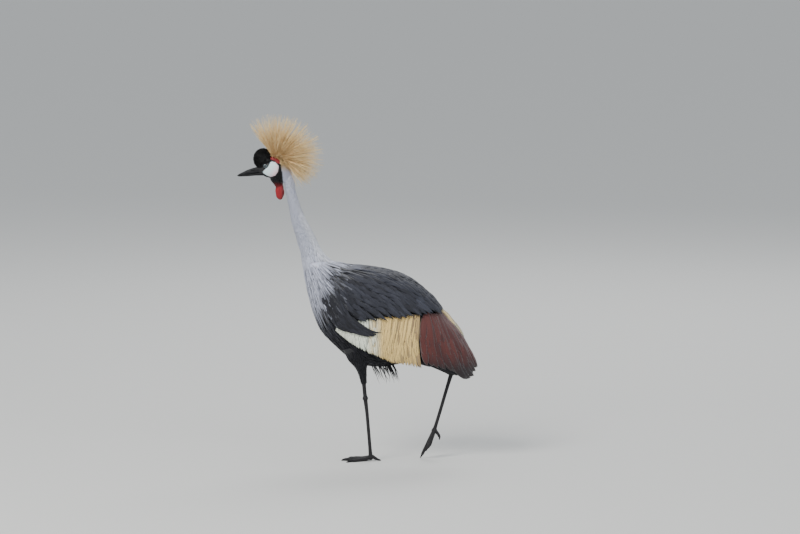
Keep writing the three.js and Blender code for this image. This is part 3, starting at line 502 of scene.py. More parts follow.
bare_skin, tree, shader = nodes_of("bare_skin")
pores = noise(tree, own_space(tree), 900, 3)
link(tree, toned(tree, pores, 0.86, 1.1), shader.inputs["Base Color"])
relieve(tree, shader, pores, 0.25, 0.0004)
set_sockets(shader, {"Roughness": 0.5, "Subsurface Weight": 0.12,
                     "Subsurface Radius": (0.004, 0.0015, 0.001)})
skin.data.materials.clear()
paired = [f"{node}_{word}" for node in ("cheek", "nape_skin", "wing_arm", "thigh") for _, word in SIDES]
finish(skin, bare_skin, "white_skin", "torso", "neck_lower", "neck_upper", "head", "forehead_cushion",
       *paired)

# The red wattle hangs under the throat.
# It is a bare fold of skin, laterally flattened, with soft creases down its sides.
WATTLE_ROWS = [[-240, 0, 856, 5, 5], [-238.5, 0, 848, 9, 6.4], [-238, 0, 838, 11.8, 7.8],
               [-238, 0, 826, 13.4, 8.4], [-237.5, 0, 813, 11.4, 7.4], [-236.5, 0, 805, 7, 5.2],
               [-236.2, 0, 802, 3.4, 3.2], [-236, 0, 801, 0.6, 0.6]]
rings = limb_rings(WATTLE_ROWS, sides=64, steps=10) / MM
shape = rings - rings.mean(1, keepdims=True)
around = np.arctan2(shape[..., 1], shape[..., 0])
height = np.clip((rings[..., 2] - 803) / 40, 0, 1)
crease = np.exp(-((np.abs(shape[..., 0] - 1.5 * np.sin(rings[..., 2] * 0.16)) / 2.0) ** 2))
folds = 1 - 0.24 * crease * np.sin(math.pi * height) ** 0.5 - 0.05 * np.sin(around * 7 + rings[..., 2] * 0.22)
rings = rings.mean(1, keepdims=True) + shape * folds[..., None]
wattle = tube("wattle_skin", rings * MM)
places = rings.reshape(-1, 3)
deep = smooth(places[:, 2], 860, 838)[:, None]
# Painted shade and light: the red is brightened at the front and painted darker towards its back side and
# towards its tip.
shade = 1.15 - 0.55 * smooth(places[:, 0], -240, -226) - 0.3 * smooth(places[:, 2], 812, 802)
paint_points(wattle.data, mix(VELVET, RED * shade[:, None], deep))
finish(wattle, bare_skin, "red_skin", "wattle")


# Body feathers cover the breast, belly and flanks, dark slate and greyer near the neck, painted darker
# towards black as painted shade of the underside.
# A feather is a shaft with a soft vane on both sides. Each one here is a thin solid vane, cambered across,
# rooted in the skin and lying along the bird over the roots of the next ones, as roof tiles do.
rng = np.random.default_rng(11)


def either(*shape):
    """Random numbers between -1 and 1."""
    return rng.uniform(-1, 1, shape)


def chance(*shape):
    """Random numbers between 0 and 1."""
    return rng.uniform(0, 1, shape)


def vanes(name, spine, normal, width, profile, tone, bake, steps=2, camber=0.16, tilt=0.0, thick=0.35,
          ragged=0.0):
    """A coat of vanes, in millimetres: spine and normal are (vanes, rings, 3), width is one for each vane."""
    total, rings_count = spine.shape[:2]
    along = unit(np.gradient(spine, axis=1))
    across = unit(np.cross(normal, along))
    up = np.cross(along, across)
    half = 0.5 * width[:, None] * np.asarray(profile)[None, :]
    if ragged:
        half = half * (1 + ragged * either(total, rings_count))
    x = np.linspace(-1, 1, steps + 1)
    ring_x = np.concatenate([x, x[-2:0:-1]])
    under = np.concatenate([np.zeros(steps + 1), np.ones(steps - 1)])
    bulge = half[..., None] * (camber * (1 - ring_x**2) + tilt * ring_x)
    bulge = bulge - under * thick * (1 - 0.6 * ring_x**2)
    points = spine[:, :, None] + across[:, :, None] * (half[..., None] * ring_x)[..., None]
    points = points + up[:, :, None] * bulge[..., None]
    ring = len(ring_x)
    ids = np.arange(total * rings_count * ring).reshape(total, rings_count, ring)
    quads = np.stack([ids[:, :-1], np.roll(ids, -1, 2)[:, :-1], np.roll(ids, -1, 2)[:, 1:], ids[:, 1:]], -1)
    loops = np.concatenate([quads.ravel(), ids[:, 0, ::-1].ravel(), ids[:, -1].ravel()])
    totals = np.concatenate([np.full(quads.size // 4, 4), np.full(total * 2, ring)])
    thing = mesh_piece(name, points * MM, loops, totals)
    t = np.linspace(0, 1, rings_count)
    u_of = np.broadcast_to((ring_x + 1) / 2, ids.shape)
    v_of = np.broadcast_to(t[None, :, None], ids.shape)
    uv = np.stack([u_of, v_of], -1).reshape(-1, 2)[loops]
    which = np.repeat(np.arange(total), rings_count * ring)[loops]
    plan = np.asarray(bake)[which] + (uv - 0.5) * 0.003
    for label, data in (("OFBake", plan), ("vane", uv)):
        layer = thing.data.uv_layers.new(name=label)
        layer.data.foreach_set("uv", data.astype(np.float32).ravel())
    if tone.ndim == 2:
        tone = np.repeat(tone[:, None], rings_count, 1)
    paint_points(thing.data, np.repeat(tone.reshape(-1, 3), ring, 0))
    return thing


def lay(name, surface, s, phi, side, lift, width, profile, tone, **form):
    """Vanes along paths (vanes, rings) of one side of a surface, raised off it by lift."""
    side = np.full(s.shape, float(side))
    normal = outward(surface, s, phi, side)
    spine = surface(s, phi, side) + normal * lift[..., None]
    last = s.max() + 1e-6
    around = phi[:, 0] * side[:, 0]
    bake = np.stack([0.04 + 0.92 * s[:, 0] / last,
                     0.5 + 0.46 * np.arctan2(np.sin(around), np.cos(around)) / math.pi], 1)
    return vanes(name, spine, normal, width, profile, tone, bake, **form)


def rates(surface, s, phi, side):
    """Millimetres for each step of s and of phi."""
    d = 0.02
    a = np.linalg.norm(surface(s + d, phi, side) - surface(s - d, phi, side), axis=-1) / (2 * d)
    b = np.linalg.norm(surface(s, phi + d, side) - surface(s, phi - d, side), axis=-1) / (2 * d)
    return np.maximum(a, 2), np.maximum(b, 2)


def tiers(surface, s_from, s_to, row, apart):
    """Roots in staggered rows round a surface: row and apart are the spacings in millimetres."""
    found_s, found_phi = [], []
    angles = np.linspace(-math.pi, math.pi, 80)
    s, odd = s_from, 0
    while s < s_to:
        p = surface(np.full(80, s), angles, np.ones(80))
        arc = np.concatenate([[0], np.cumsum(np.linalg.norm(np.diff(p, axis=0), axis=1))])
        n = max(3, int(arc[-1] / apart))
        at = (np.arange(n) + 0.25 + 0.5 * odd + rng.uniform(-0.2, 0.2, n)) / n * arc[-1]
        found_phi.append(np.interp(at, arc, angles))
        rate, _ = rates(surface, np.full(9, s), np.linspace(-math.pi, math.pi, 9), np.ones(9))
        found_s.append(s + rng.uniform(-0.3, 0.3, n) * row / rate.mean())
        s += row / rate.mean()
        odd = 1 - odd
    return np.clip(np.concatenate(found_s), 0, None), np.concatenate(found_phi)


def run(surface, s, phi, length, waver, rings, s_max):
    """Paths of the given length from roots s, phi, each turned by up to waver."""
    aim = waver * either(len(s))
    rate, around = rates(surface, s, phi, np.ones(len(s)))
    t = np.linspace(0, 1, rings)
    path_s = s[:, None] + (length * np.cos(aim) / rate)[:, None] * t
    path_phi = phi[:, None] + (length * np.sin(aim) / around)[:, None] * t
    return np.clip(path_s, 0, s_max), path_phi


def varied(n, spread):
    return 1 + spread * either(n)


def slope(n, root, tip, loose, rings):
    """Heights over the surface that go evenly from root to tip, each a little off."""
    return mix(root, tip, np.linspace(0, 1, rings)[None]) + loose * either(n, 1)


LANCE = {5: [0.6, 1, 0.85, 0.5, 0.05], 7: [0.55, 0.9, 1, 0.88, 0.66, 0.38, 0.05],
         9: [0.5, 0.85, 1, 0.97, 0.85, 0.68, 0.48, 0.26, 0.04]}


def feather_material(name, roughness=0.62, barbs=60.0, contrast=0.3, edge=0.25, shaft=0.25, sheen=0.2,
                     specular=0.35):
    """Fine barbs slant from a shaft to the edges: they shade the tone and give the vane its relief."""
    material, tree, shader = nodes_of(name)
    plan = tree.nodes.new("ShaderNodeUVMap")
    plan.uv_map = "vane"
    parts = tree.nodes.new("ShaderNodeSeparateXYZ")
    link(tree, plan.outputs["UV"], parts.inputs[0])
    off = maths(tree, "ABSOLUTE", maths(tree, "MULTIPLY_ADD", parts.outputs["X"], 2.0, -1.0))
    slant = maths(tree, "MULTIPLY_ADD", off, -0.16, parts.outputs["Y"])
    cloud = noise(tree, own_space(tree), 260, 2)
    shaken = maths(tree, "MULTIPLY_ADD", cloud, 0.05, slant)
    wave = maths(tree, "SINE", maths(tree, "MULTIPLY", shaken, barbs * 6.28))
    barb = maths(tree, "MULTIPLY_ADD", wave, 0.5, 0.5)
    shaft_line = maths(tree, "SUBTRACT", 1.0, maths(tree, "MULTIPLY", off, 14.0, clamp=True), clamp=True)
    light = maths(tree, "MULTIPLY", barb, contrast)
    light = maths(tree, "MULTIPLY_ADD", maths(tree, "POWER", off, 3.0), edge, light)
    light = maths(tree, "MULTIPLY_ADD", shaft_line, shaft, light)
    light = maths(tree, "MULTIPLY_ADD", cloud, 0.3, light)
    link(tree, toned(tree, light, 0.72, 1.5), shader.inputs["Base Color"])
    relieve(tree, shader, maths(tree, "ADD", barb, shaft_line), 0.35, 0.0005)
    set_sockets(shader, {"Roughness": roughness, "Sheen Weight": sheen, "Specular IOR Level": specular})
    return material


def picked(low, high, share):
    """Tones between two colours, one for each share."""
    return mix(np.asarray(low)[None], np.asarray(high)[None], np.asarray(share)[:, None])


def tinged(tone, tint, share):
    """Tones that go over to one tint, by one share for each."""
    return mix(tone, tint[None], share[:, None])


MID_GREY = colour(128, 132, 148)
DARK_SLATE = colour(33, 34, 41)
dark_plume = feather_material("dark_plume", contrast=0.4, edge=0.3, shaft=0.2, roughness=0.55, sheen=0.03,
                              specular=0.2)
s, phi = tiers(trunk, 1.3, 9.3, 10, 9.5)
n = len(s)
length = (34 + 12 * smooth(s, 0.5, 3) + 8 * smooth(s, 5, 9)) * varied(n, 0.15)
path_s, path_phi = run(trunk, s, phi, length, 0.1, 5, TRUNK_END - 0.05)
lift = slope(n, -1.5, 3.2, 0.6, 5)
shade = np.clip(0.5 + 0.3 * rng.normal(size=n), 0, 1)
grey = (1 - smooth(s, 1.8, 4.6)) * smooth(np.abs(phi), 1.2, 2.4)
# Dark slate feathers with the shade of the underside painted in: the tones run from near black to dark slate.
tone = picked(SOOT, DARK_SLATE, shade)
tone = tinged(tone, MID_GREY, grey * chance(n) ** 1.2 * 0.8)
body = lay("body_feathers", trunk, path_s, path_phi, 1, lift, 13 * varied(n, 0.15), LANCE[5], tone, tilt=0.05)
finish(body, dark_plume, "slate_plumage", "torso")

# The neck is clothed in short, soft, lavender-grey feathers.
# They are like a close nap at the head and lengthen down to pointed hackles at its foot.
NECK_HIGHLIGHT = colour(232, 234, 242)
soft_plume = feather_material("soft_plume", contrast=0.22, edge=0.1, shaft=0.1)
s, phi = tiers(neck, 0.55, 9.3, 4.6, 4.4)
n = len(s)
length = (11 + 6 * smooth(s, 2, 6) + 36 * smooth(s, 6.4, 9)) * varied(n, 0.18)
path_s, path_phi = run(neck, s, phi, length, 0.1, 4, 9.95)
lift = slope(n, -1.0, (1.1 + 5.5 * smooth(s, 7.6, 9.2))[:, None], 0.25, 4)
# Painted highlight: the feathers on the back of the neck are painted whiter, where the light falls on it.
behind = smooth(np.cos(phi), 0.0, 0.9) * smooth(s, 2, 5)
tone = picked(PALE_GREY, NECK_HIGHLIGHT, 0.75 * behind + 0.18 * chance(n))
tone = tinged(tone, MID_GREY, 0.7 * smooth(s, 7.4, 9.3) * chance(n))
width = (4.6 + 3 * smooth(s, 5, 9)) * varied(n, 0.15)
nap = lay("neck_feathers", neck, path_s, path_phi, 1, lift, width, [0.7, 1, 0.8, 0.1], tone, thick=0.25)
finish(nap, soft_plume, "grey_plumage", "neck_upper", "neck_lower")

# Hackles hang from the foot of the neck over the shoulders and breast.
# They are long, narrow and pale lavender-grey, and turn to slate towards the wing, so the colours interlock.
def rise(n, root, tip, settled, loose, rings=9):
    """Heights over the surface: sunk at the root, settled part of the way to the tip, each a little off."""
    return mix(root, tip, smooth(np.linspace(0, 1, rings), 0, settled))[None] + loose * either(n, 1)


s, phi = tiers(envelope, 0.02, 2.6, 9, 6.6)
keep = s < mix(0.75, 2.6, smooth(np.abs(phi), 0.8, 2.3)) + 0.08 * rng.normal(size=len(s))
s, phi = s[keep], phi[keep]
n = len(s)
length = (54 + 34 * smooth(s, 0.2, 1.6)) * varied(n, 0.2)
path_s, path_phi = run(envelope, s, phi, length, 0.12, 7, 5.0)
lift = rise(n, -4.5, 1.6, 0.5, 0.9, rings=7)
low_down = smooth(np.abs(path_phi), 1.3, 2.6)
dark = smooth(path_s + 0.35 * rng.normal(size=(n, 1)), mix(0.3, 1.6, low_down), mix(1.6, 4.3, low_down))
shade = np.clip(dark + 0.16 * rng.normal(size=(n, 1)), 0, 1)[..., None]
hackle_tone = mix(PALE_GREY, DARK_SLATE, shade)
hackles = lay("hackles", envelope, path_s, path_phi, 1, lift, 8.5 * varied(n, 0.2), LANCE[7], hackle_tone,
              tilt=0.1, thick=0.4)
finish(hackles, soft_plume, "grey_plumage", "neck_lower")


# Black primaries lie lowest in the folded wing.
# They are long, stiff and broad, and show as a dark edge under the secondaries. Like each group of the wing
# they grow in tiers, which fill a region of the plumage between a line of roots and a line of tips.
def region(roots, tips):
    def place(u, v):
        root, tip = through(roots, u * (len(roots) - 1)), through(tips, u * (len(tips) - 1))
        return mix(root[..., 0], tip[..., 0], v), mix(root[..., 1], tip[..., 1], v)
    return place


def wing_rows(place, rows, across, reach, end=1.0, drift=0.0, jitter=0.4):
    """Paths of feathers in staggered rows: rows is the list of where they start, reach how far they run."""
    out_s, out_phi = [], []
    t = np.linspace(0, 1, 9)
    for k, start in enumerate(rows):
        u = (np.arange(across) + 0.3 + 0.4 * (k % 2)) / across + either(across) * jitter * 0.3 / across
        stop = np.minimum(start + reach * varied(across, 0.1), end - 0.04 * chance(across))
        finish_u = np.clip(u + drift + either(across) * jitter * 0.4 / across, 0, 1)
        where_s, where_phi = place(mix(u[:, None], finish_u[:, None], t), mix(start, stop[:, None], t))
        out_s.append(where_s)
        out_phi.append(where_phi)
    return np.concatenate(out_s), np.concatenate(out_phi)


def wing_coat(coat, solid, side, paths, lift, width, spread, profile, tone, material, slot, **form):
    """One side's coat of wing feathers, in place of a solid."""
    way, word = side
    width = width * varied(len(lift), spread)
    coat = lay(f"{coat}_{word}", envelope, *paths, way, lift, width, profile, tone, **form)
    finish(coat, material, slot, f"{solid}_{word}")


LEAF = [0.35, 0.75, 0.95, 1, 1, 0.95, 0.8, 0.5, 0.06]
PRIMARY_AT = region([locate(90, 410), locate(120, 410), locate(150, 410), locate(185, 410)],
                    [locate(208, 290), locate(255, 279), locate(300, 260), locate(336, 258)])
for side in SIDES:
    path_s, path_phi = wing_rows(PRIMARY_AT, [0.05, 0.12], 9, 0.95)
    n = len(path_s)
    deep = mix(-20, -11.5, smooth(path_s, 9, 10.8)) + 1.2 * either(n, 1)
    tone = picked(SOOT, DARK_SLATE, 0.3 * chance(n))
    wing_coat("primary_vanes", "primaries", side, (path_s, path_phi), deep, 22, 0.08, LEAF, tone,
              dark_plume, "black_plumage", steps=4, tilt=0.1, thick=0.6)

# Chestnut secondaries droop over the tail.
# They are long and loose-edged, redder above and maroon lower down, in overlapping tiers, with painted shade
# darkening them to black at the lower edge.
CHESTNUT = colour(86, 38, 34)
MAROON = colour(50, 20, 23)
fine_plume = feather_material("fine_plume", barbs=46, contrast=0.26, edge=0.12, shaft=0.15)
CHESTNUT_AT = region([locate(205, 460), locate(212, 468), [7.7, 0.6], [7.8, 0.34], [7.9, 0.15], [7.9, 0.04]],
                     [locate(209, 298), locate(262, 286), locate(312, 264), locate(350, 256),
                      [13.97, 0.75], [13.9, 0.25]])
for side in SIDES:
    path_s, path_phi = wing_rows(CHESTNUT_AT, [0.0, 0.05, 0.14, 0.24, 0.34, 0.43, 0.52], 15, 0.54, jitter=0.8)
    n = len(path_s)
    lift = rise(n, -9, -2.6, 0.7, 1.3)
    height = envelope(path_s, path_phi, np.ones_like(path_s))[..., 2]
    # Painted shade: towards the lower edge the vanes are painted through maroon to black.
    low = smooth(height, 345, 270)[..., None]
    tone = picked(CHESTNUT, MAROON, 0.7 * chance(n) ** 1.5)[:, None]
    tone = mix(mix(tone, MAROON, low), SOOT, low**2 * 0.75)
    wing_coat("chestnut_vanes", "secondaries", side, (path_s, path_phi), lift, 21, 0.15, LEAF, tone,
              fine_plume, "chestnut_plumage", steps=4, tilt=0.12, thick=0.5, ragged=0.06)

# White coverts lie under the slate ones at the front of the wing.
# They slope back and down and turn to straw where they meet the plumes.
COVERT_WHITE = colour(233, 238, 220)
STRAW = colour(226, 193, 122)
WHITE_AT = region([locate(-66, 420), locate(-30, 430), locate(5, 442), locate(52, 450)],
                  [locate(-66, 405), locate(-40, 380), locate(-6, 357), locate(50, 334)])
for side in SIDES:
    path_s, path_phi = wing_rows(WHITE_AT, [0.0, 0.08, 0.16, 0.26, 0.36, 0.46, 0.56], 20, 0.5, drift=0.07,
                                 jitter=0.9)
    n = len(path_s)
    lift = rise(n, -9, -4.2, 0.6, 0.7)
    x = envelope(path_s, path_phi, np.ones_like(path_s))[..., 0]
    blend = smooth(x, 22, 62)[..., None]
    tone = mix((COVERT_WHITE * mix(0.92, 1.04, chance(n, 1)))[:, None], STRAW, blend)
    wing_coat("white_vanes", "coverts_white", side, (path_s, path_phi), lift, 14, 0.15, LEAF, tone,
              fine_plume, "white_plumage", tilt=0.05, thick=0.45, ragged=0.04)

# Straw-gold plumes hang down the side of the wing behind the white.
# They are loose and silky, almost straight down, with thin brown streaks among the last ones.
STRAW_BROWN = colour(150, 122, 92)
STRAW_AT = region([locate(46, 446), locate(88, 454), locate(128, 459), locate(160, 462), locate(192, 460)],
                  [locate(50, 333), locate(80, 319), locate(113, 306), locate(150, 297), locate(194, 291)])
for side in SIDES:
    path_s, path_phi = wing_rows(STRAW_AT, [0.0, 0.05, 0.12, 0.2, 0.28, 0.36, 0.44, 0.52], 34, 0.52,
                                 jitter=1.2)
    n = len(path_s)
    lift = rise(n, -9.5, -3.6, 0.6, 0.9)
    where = envelope(path_s, path_phi, np.ones_like(path_s))
    blend = smooth(where[..., 0], 78, 40)[..., None]
    streak = (chance(n) < 0.5 * smooth(where[:, 4, 0], 105, 170)) * rng.uniform(0.4, 1, n)
    tone = picked(STRAW * 0.94, STRAW * 1.1, chance(n))
    tone = tinged(tone, STRAW_BROWN * 0.8, streak)
    tone = mix(tone[:, None], COVERT_WHITE, blend)
    wing_coat("straw_vanes", "coverts_straw", side, (path_s, path_phi), lift, 8.5, 0.25, LEAF, tone,
              fine_plume, "straw_plumage", tilt=0.04, thick=0.4, ragged=0.06)

# A few cream plumes of the far wing rise over the ridge of the back.
# They are the tips of its straw plumes, folded up between the wings, a narrow strip behind the slate.
n = 12
t = np.linspace(0, 1, 9)[None]
path_s = mix(np.linspace(7.9, 8.9, n)[:, None], np.linspace(9.8, 11.1, n)[:, None], t)
path_phi = mix(0.16, np.linspace(0.04, 0.2, n)[:, None], t)
lift = rise(n, -5, 1.4, 0.5, 0.5)
cream = lay("ridge_plumes", envelope, path_s, path_phi, FAR, lift, 14 * varied(n, 0.2), LEAF,
            picked(COVERT_WHITE, STRAW, rng.uniform(0.2, 0.8, n)), tilt=0.8, thick=0.5)
finish(cream, fine_plume, "straw_plumage")

# Slate scapulars cover the arm of the wing.
# They are long and pointed with bluer edges, run back and down, and end in two lobes over white and straw.
SLATE = colour(55, 57, 67)
BLUE_EDGE = colour(84, 89, 106)
slate_plume = feather_material("slate_plume", barbs=70, contrast=0.24, edge=0.4, shaft=-0.25, roughness=0.55,
                               sheen=0.05, specular=0.25)
SLATE_AT = region([[1.3, 0.42], [1.3, 0.85], [1.4, 1.25], [1.6, 1.55], [2.0, 1.85]],
                  [[8.05, 0.42], [7.45, 0.75], [6.45, 1.08], [5.6, 1.4], [4.85, 1.77]])
LOBE_STRAIGHT = region([[1.6, 1.85], [1.7, 2.02], [1.8, 2.14], [2.0, 2.3]],
                       [[5.78, 1.66], [5.66, 1.82], [5.3, 1.99], [4.45, 2.25]])


def lobe_at(u, v):
    """The lower lobe, whose upper feathers bend up at their tips."""
    where_s, where_phi = LOBE_STRAIGHT(u, v)
    return where_s, where_phi + 1.8 * v**3 * (1 - v) * (1 - u)


for side in SIDES:
    upper = wing_rows(SLATE_AT, np.linspace(0, 0.7, 10), 12, 0.36, end=1.02, jitter=0.7)
    lobe = wing_rows(lobe_at, np.linspace(0, 0.66, 8), 7, 0.4, end=1.02, jitter=0.5)
    path_s, path_phi = (np.concatenate(both) for both in zip(upper, lobe))
    n = len(path_s)
    lift = rise(n, -6, 1.8, 0.7, 0.8)
    tone = picked(DARK_SLATE, SLATE, chance(n))
    tone = tinged(tone, BLUE_EDGE, 0.3 * chance(n) ** 2 * smooth(path_s[:, 0], 3, 6))
    tone = tinged(tone, SOOT, 0.6 * smooth(path_phi[:, 4], 1.4, 2.2))
    wing_coat("scapular_vanes", "scapulars", side, (path_s, path_phi), lift, 20, 0.12, LANCE[9], tone,
              slate_plume, "slate_plumage", steps=4, tilt=0.13, thick=0.5)

# The mantle runs down the middle of the back between the wings.
# Its feathers are like the scapulars, a little shorter, and close the back from the hackles to the chestnut.
MANTLE_AT = region([[0.7, -0.62], [0.7, 0], [0.7, 0.62]], [[8.1, -0.5], [8.25, 0], [8.1, 0.5]])
path_s, path_phi = wing_rows(MANTLE_AT, np.linspace(0, 0.84, 15), 9, 0.19, end=1.02, jitter=0.8)
n = len(path_s)
lift = rise(n, -5.5, 2.2, 0.7, 0.7)
tone = picked(DARK_SLATE, SLATE, chance(n))
tone = tinged(tone, MID_GREY, 0.5 * (1 - smooth(path_s[:, 0], 0.7, 1.3)) * chance(n))
mantle = lay("mantle_vanes", envelope, path_s, path_phi, 1, lift, 20 * varied(n, 0.12), LANCE[9], tone,
             steps=4, tilt=0.1, thick=0.5)
finish(mantle, slate_plume, "slate_plumage", "mantle")

# The tail is a short fan of broad black feathers.
# They grow from the rump, hang between the folded wings and are hidden by them from the side.
TAIL_FEATHERS = 12
TAIL_WIDTH = 17
fan, one = np.linspace(-1, 1, TAIL_FEATHERS), np.ones(TAIL_FEATHERS)
base = np.stack([262 * one, 9 * fan, 344 * one], 1)
knee = np.stack([290 * one, 18 * fan, 314 - 3 * np.abs(fan)], 1)
tip = np.stack([331 - 12 * fan**2, 21 * fan, 266 + 4 * fan**2], 1)
t = np.linspace(0, 1, 9)[None, :, None]
spine = (1 - t) ** 2 * base[:, None] + 2 * t * (1 - t) * knee[:, None] + t**2 * tip[:, None]
spine[..., 2] -= (3.6 * np.abs(fan))[:, None] + 0.4
normal = unit(np.stack([0.72 * one, 0.25 * fan, 0.69 * one], 1))[:, None].repeat(9, 1)
tone = picked(SOOT, DARK_SLATE, 0.35 * chance(TAIL_FEATHERS))
bake = np.stack([0.5 + 0.4 * fan, 0.5 * one], 1)
tail = vanes("tail_vanes", spine, normal, TAIL_WIDTH * one, LEAF, tone, bake, steps=4, thick=0.5)
finish(tail, dark_plume, "black_plumage", "tail")


# Thigh feathers clothe the upper leg down to the bare shank.
# They are short, dark slate and close, painted near black as painted shade under the body, and longer loose
# wisps hang from the belly behind the left leg.
for word, rows in THIGHS.items():
    surface = limb_surface(rows)
    s, phi = tiers(surface, 0.3, 3.75, 6, 5.5)
    n = len(s)
    length = mix(26, 12, s / 4) * varied(n, 0.15)
    path_s, path_phi = run(surface, s, phi, length, 0.1, 5, 4.0)
    lift = slope(n, -1.2, 1.8, 0.3, 5)
    # Painted shade: the dark slate thigh feathers are painted down towards black.
    tone = picked(SOOT, DARK_SLATE, 0.5 * chance(n))
    width = mix(9, 4.5, s / 4) * varied(n, 0.15)
    thigh = lay(f"thigh_feathers_{word}", surface, path_s, path_phi, 1, lift, width, LANCE[5], tone)
    finish(thigh, dark_plume, "slate_plumage", f"thigh_{word}")

WISPS = 60
n = WISPS
root = np.stack([rng.uniform(36, 104, n), rng.uniform(-50, 40, n), rng.uniform(300, 316, n)], 1)
t = np.linspace(0, 1, 7)[None, :, None]
reach = np.stack([rng.uniform(10, 34, n), rng.uniform(-5, 5, n), -rng.uniform(34, 66, n)], 1)
spine = root[:, None] + reach[:, None] * t
spine[..., 0] += rng.uniform(-7, 7, (n, 1)) * t[..., 0] ** 2
normal = np.broadcast_to(np.array([0.0, -1, 0.15]), spine.shape)
# Painted shade: the belly wisps are painted near black.
tone = picked(SOOT, DARK_SLATE, 0.4 * chance(n))
bake = np.stack([0.1 + 0.8 * (root[:, 0] - 40) / 70, 0.5 + root[:, 1] / 150], 1)
wisps = vanes("belly_wisps", spine, normal, rng.uniform(1.2, 3, n), LANCE[7], tone, bake, thick=0.3)
finish(wisps, dark_plume, "slate_plumage")


# The head is clothed in a black plush of tiny feathers, highest in the cushion of the forehead.
# The cushion is a dome of dense velvet, and the plush runs on round the eye and cheek and down the throat.
DOME_CENTRE = np.array([-289.0, 0, 926])
DOME_RADII = np.array([25.6, 17.6, 28.6])
DOME_SHARE = 0.86
DOME_FOOT = 899
CHEEK_TOP = 926
BROW = -278
TUFTS = 9000
TUFT_LENGTH = 3.9
TUFT_WIDTH = 1.2


def plain(name, sockets):
    """A material of even finish, which shows the painted tone unless it has a colour of its own."""
    material, tree, shader = nodes_of(name)
    if "Base Color" not in sockets:
        link(tree, tone_of(tree), shader.inputs["Base Color"])
    set_sockets(shader, sockets)
    return material


n = TUFTS
lean = 4 * np.arccos(1 - chance(n) * (1 - math.cos(math.pi * DOME_SHARE))) / (math.pi * DOME_SHARE)
turn = rng.uniform(-math.pi, math.pi, n)
tilted = lean / 4 * math.pi * DOME_SHARE
off = np.stack([np.sin(tilted) * np.cos(turn), np.sin(tilted) * np.sin(turn), np.cos(tilted)], -1)
root = DOME_CENTRE + off * DOME_RADII
ways = unit(unit(root - DOME_CENTRE) + np.array([0.28, 0, 0.05]) + 0.12 * rng.normal(size=(n, 3)))
tone = picked(VELVET * 0.7, VELVET * 1.8, chance(n) ** 2)
bake = np.stack([0.5 + 0.11 * lean * np.cos(turn), 0.5 + 0.11 * lean * np.sin(turn)], 1)
view = root[:, [0, 2]]
ok = (root[:, 2] > DOME_FOOT) & ((root[:, 2] > CHEEK_TOP) | (root[:, 0] < BROW))
ok &= (inside(view, NAPE_PATCH) < -1) & (inside(view, CHEEK) < -1) & (eye_distance(root) > EYE_RADIUS + 2.4)
length = TUFT_LENGTH * varied(n, 0.25)[ok]
root, ways = root[ok], ways[ok]
spine = root[:, None] + ways[:, None] * length[:, None, None] * np.linspace(0, 1, 3)[None, :, None]
normal = unit(np.cross(ways, rng.normal(size=ways.shape)))[:, None].repeat(3, 1)
width = np.full(len(root), TUFT_WIDTH)
cushion = vanes("velvet_cushion", spine, normal, width, [0.8, 1, 0.15], tone[ok], bake[ok], thick=0.3)
velvet = plain("velvet", {"Roughness": 0.9, "Specular IOR Level": 0.12, "Sheen Weight": 0.12,
                          "Sheen Roughness": 0.5})
finish(cushion, velvet, "velvet_black", "forehead_cushion")

s, phi = tiers(head, 0.35, 7.2, 2.3, 2.2)
p = head(s, phi, np.ones_like(s))
view = p[:, [0, 2]]
bare = np.maximum(inside(view, CHEEK), inside(view, NAPE_PATCH))
in_bill = (p[:, 0] < -288) & (p[:, 2] < 902)
ok = ((bare < -0.4) | (np.abs(p[:, 1]) < RIDGE_HALF_WIDTH)) & (eye_distance(p) > EYE_RADIUS + 2.2) & ~in_bill
s, phi = s[ok], phi[ok]
n = len(s)
path_s, path_phi = run(head, s, phi, 6.2 * varied(n, 0.2), 0.1, 4, 8)
lift = slope(n, -0.7, 1.1, 0.15, 4)
tone = picked(VELVET, SOOT, chance(n))
root = head(s, phi, np.ones(n))
tone = mix(nape_tone(root), tone, face_share(root)[:, None])
PLUSH = [0.7, 1, 0.8, 0.12]
plush = lay("head_plush", head, path_s, path_phi, 1, lift, 2.1 * varied(n, 0.15), PLUSH, tone, thick=0.2)
finish(plush, velvet, "velvet_black", "head")

throat_at = limb_surface(THROAT_ROWS)
s, phi = tiers(throat_at, 0.1, 2.4, 2.6, 2.4)
n = len(s)
path_s, path_phi = run(throat_at, s, phi, 7 * varied(n, 0.2), 0.1, 4, 3)
lift = slope(n, -0.6, 1.0, 0.2, 4)
root = throat_at(s, phi, np.ones(n))
tone = mix(PALE_GREY[None], picked(VELVET, SOOT, chance(n)), face_share(root)[:, None])
tone = tinged(tone, RED, wattle_share(root))
throat = lay("throat_plush", throat_at, path_s, path_phi, 1, lift, 2.4 * varied(n, 0.15), PLUSH, tone,
             thick=0.2)
finish(throat, velvet, "velvet_black")

# The crown spreads from the back of the head.
# It is a fan of stiff, twisted, straw-gold bristles, dense and peach-gold at the foot, paler at the tips.
PALE_GOLD = colour(238, 226, 172)
PAD_ROWS = [[-262, 0, 933, 7, 9], [-250, 0, 932, 11, 12], [-234, 0, 929, 12, 13], [-220, 0, 917, 13, 12],
            [-209, 0, 900, 11, 9]]
SPREAD = [[123, 0.97], [97, 1], [70, 1.02], [42, 1.02], [14, 0.98], [-16, 0.9], [-44, 0.68]]
REACH = 136
FOREMOST = 124


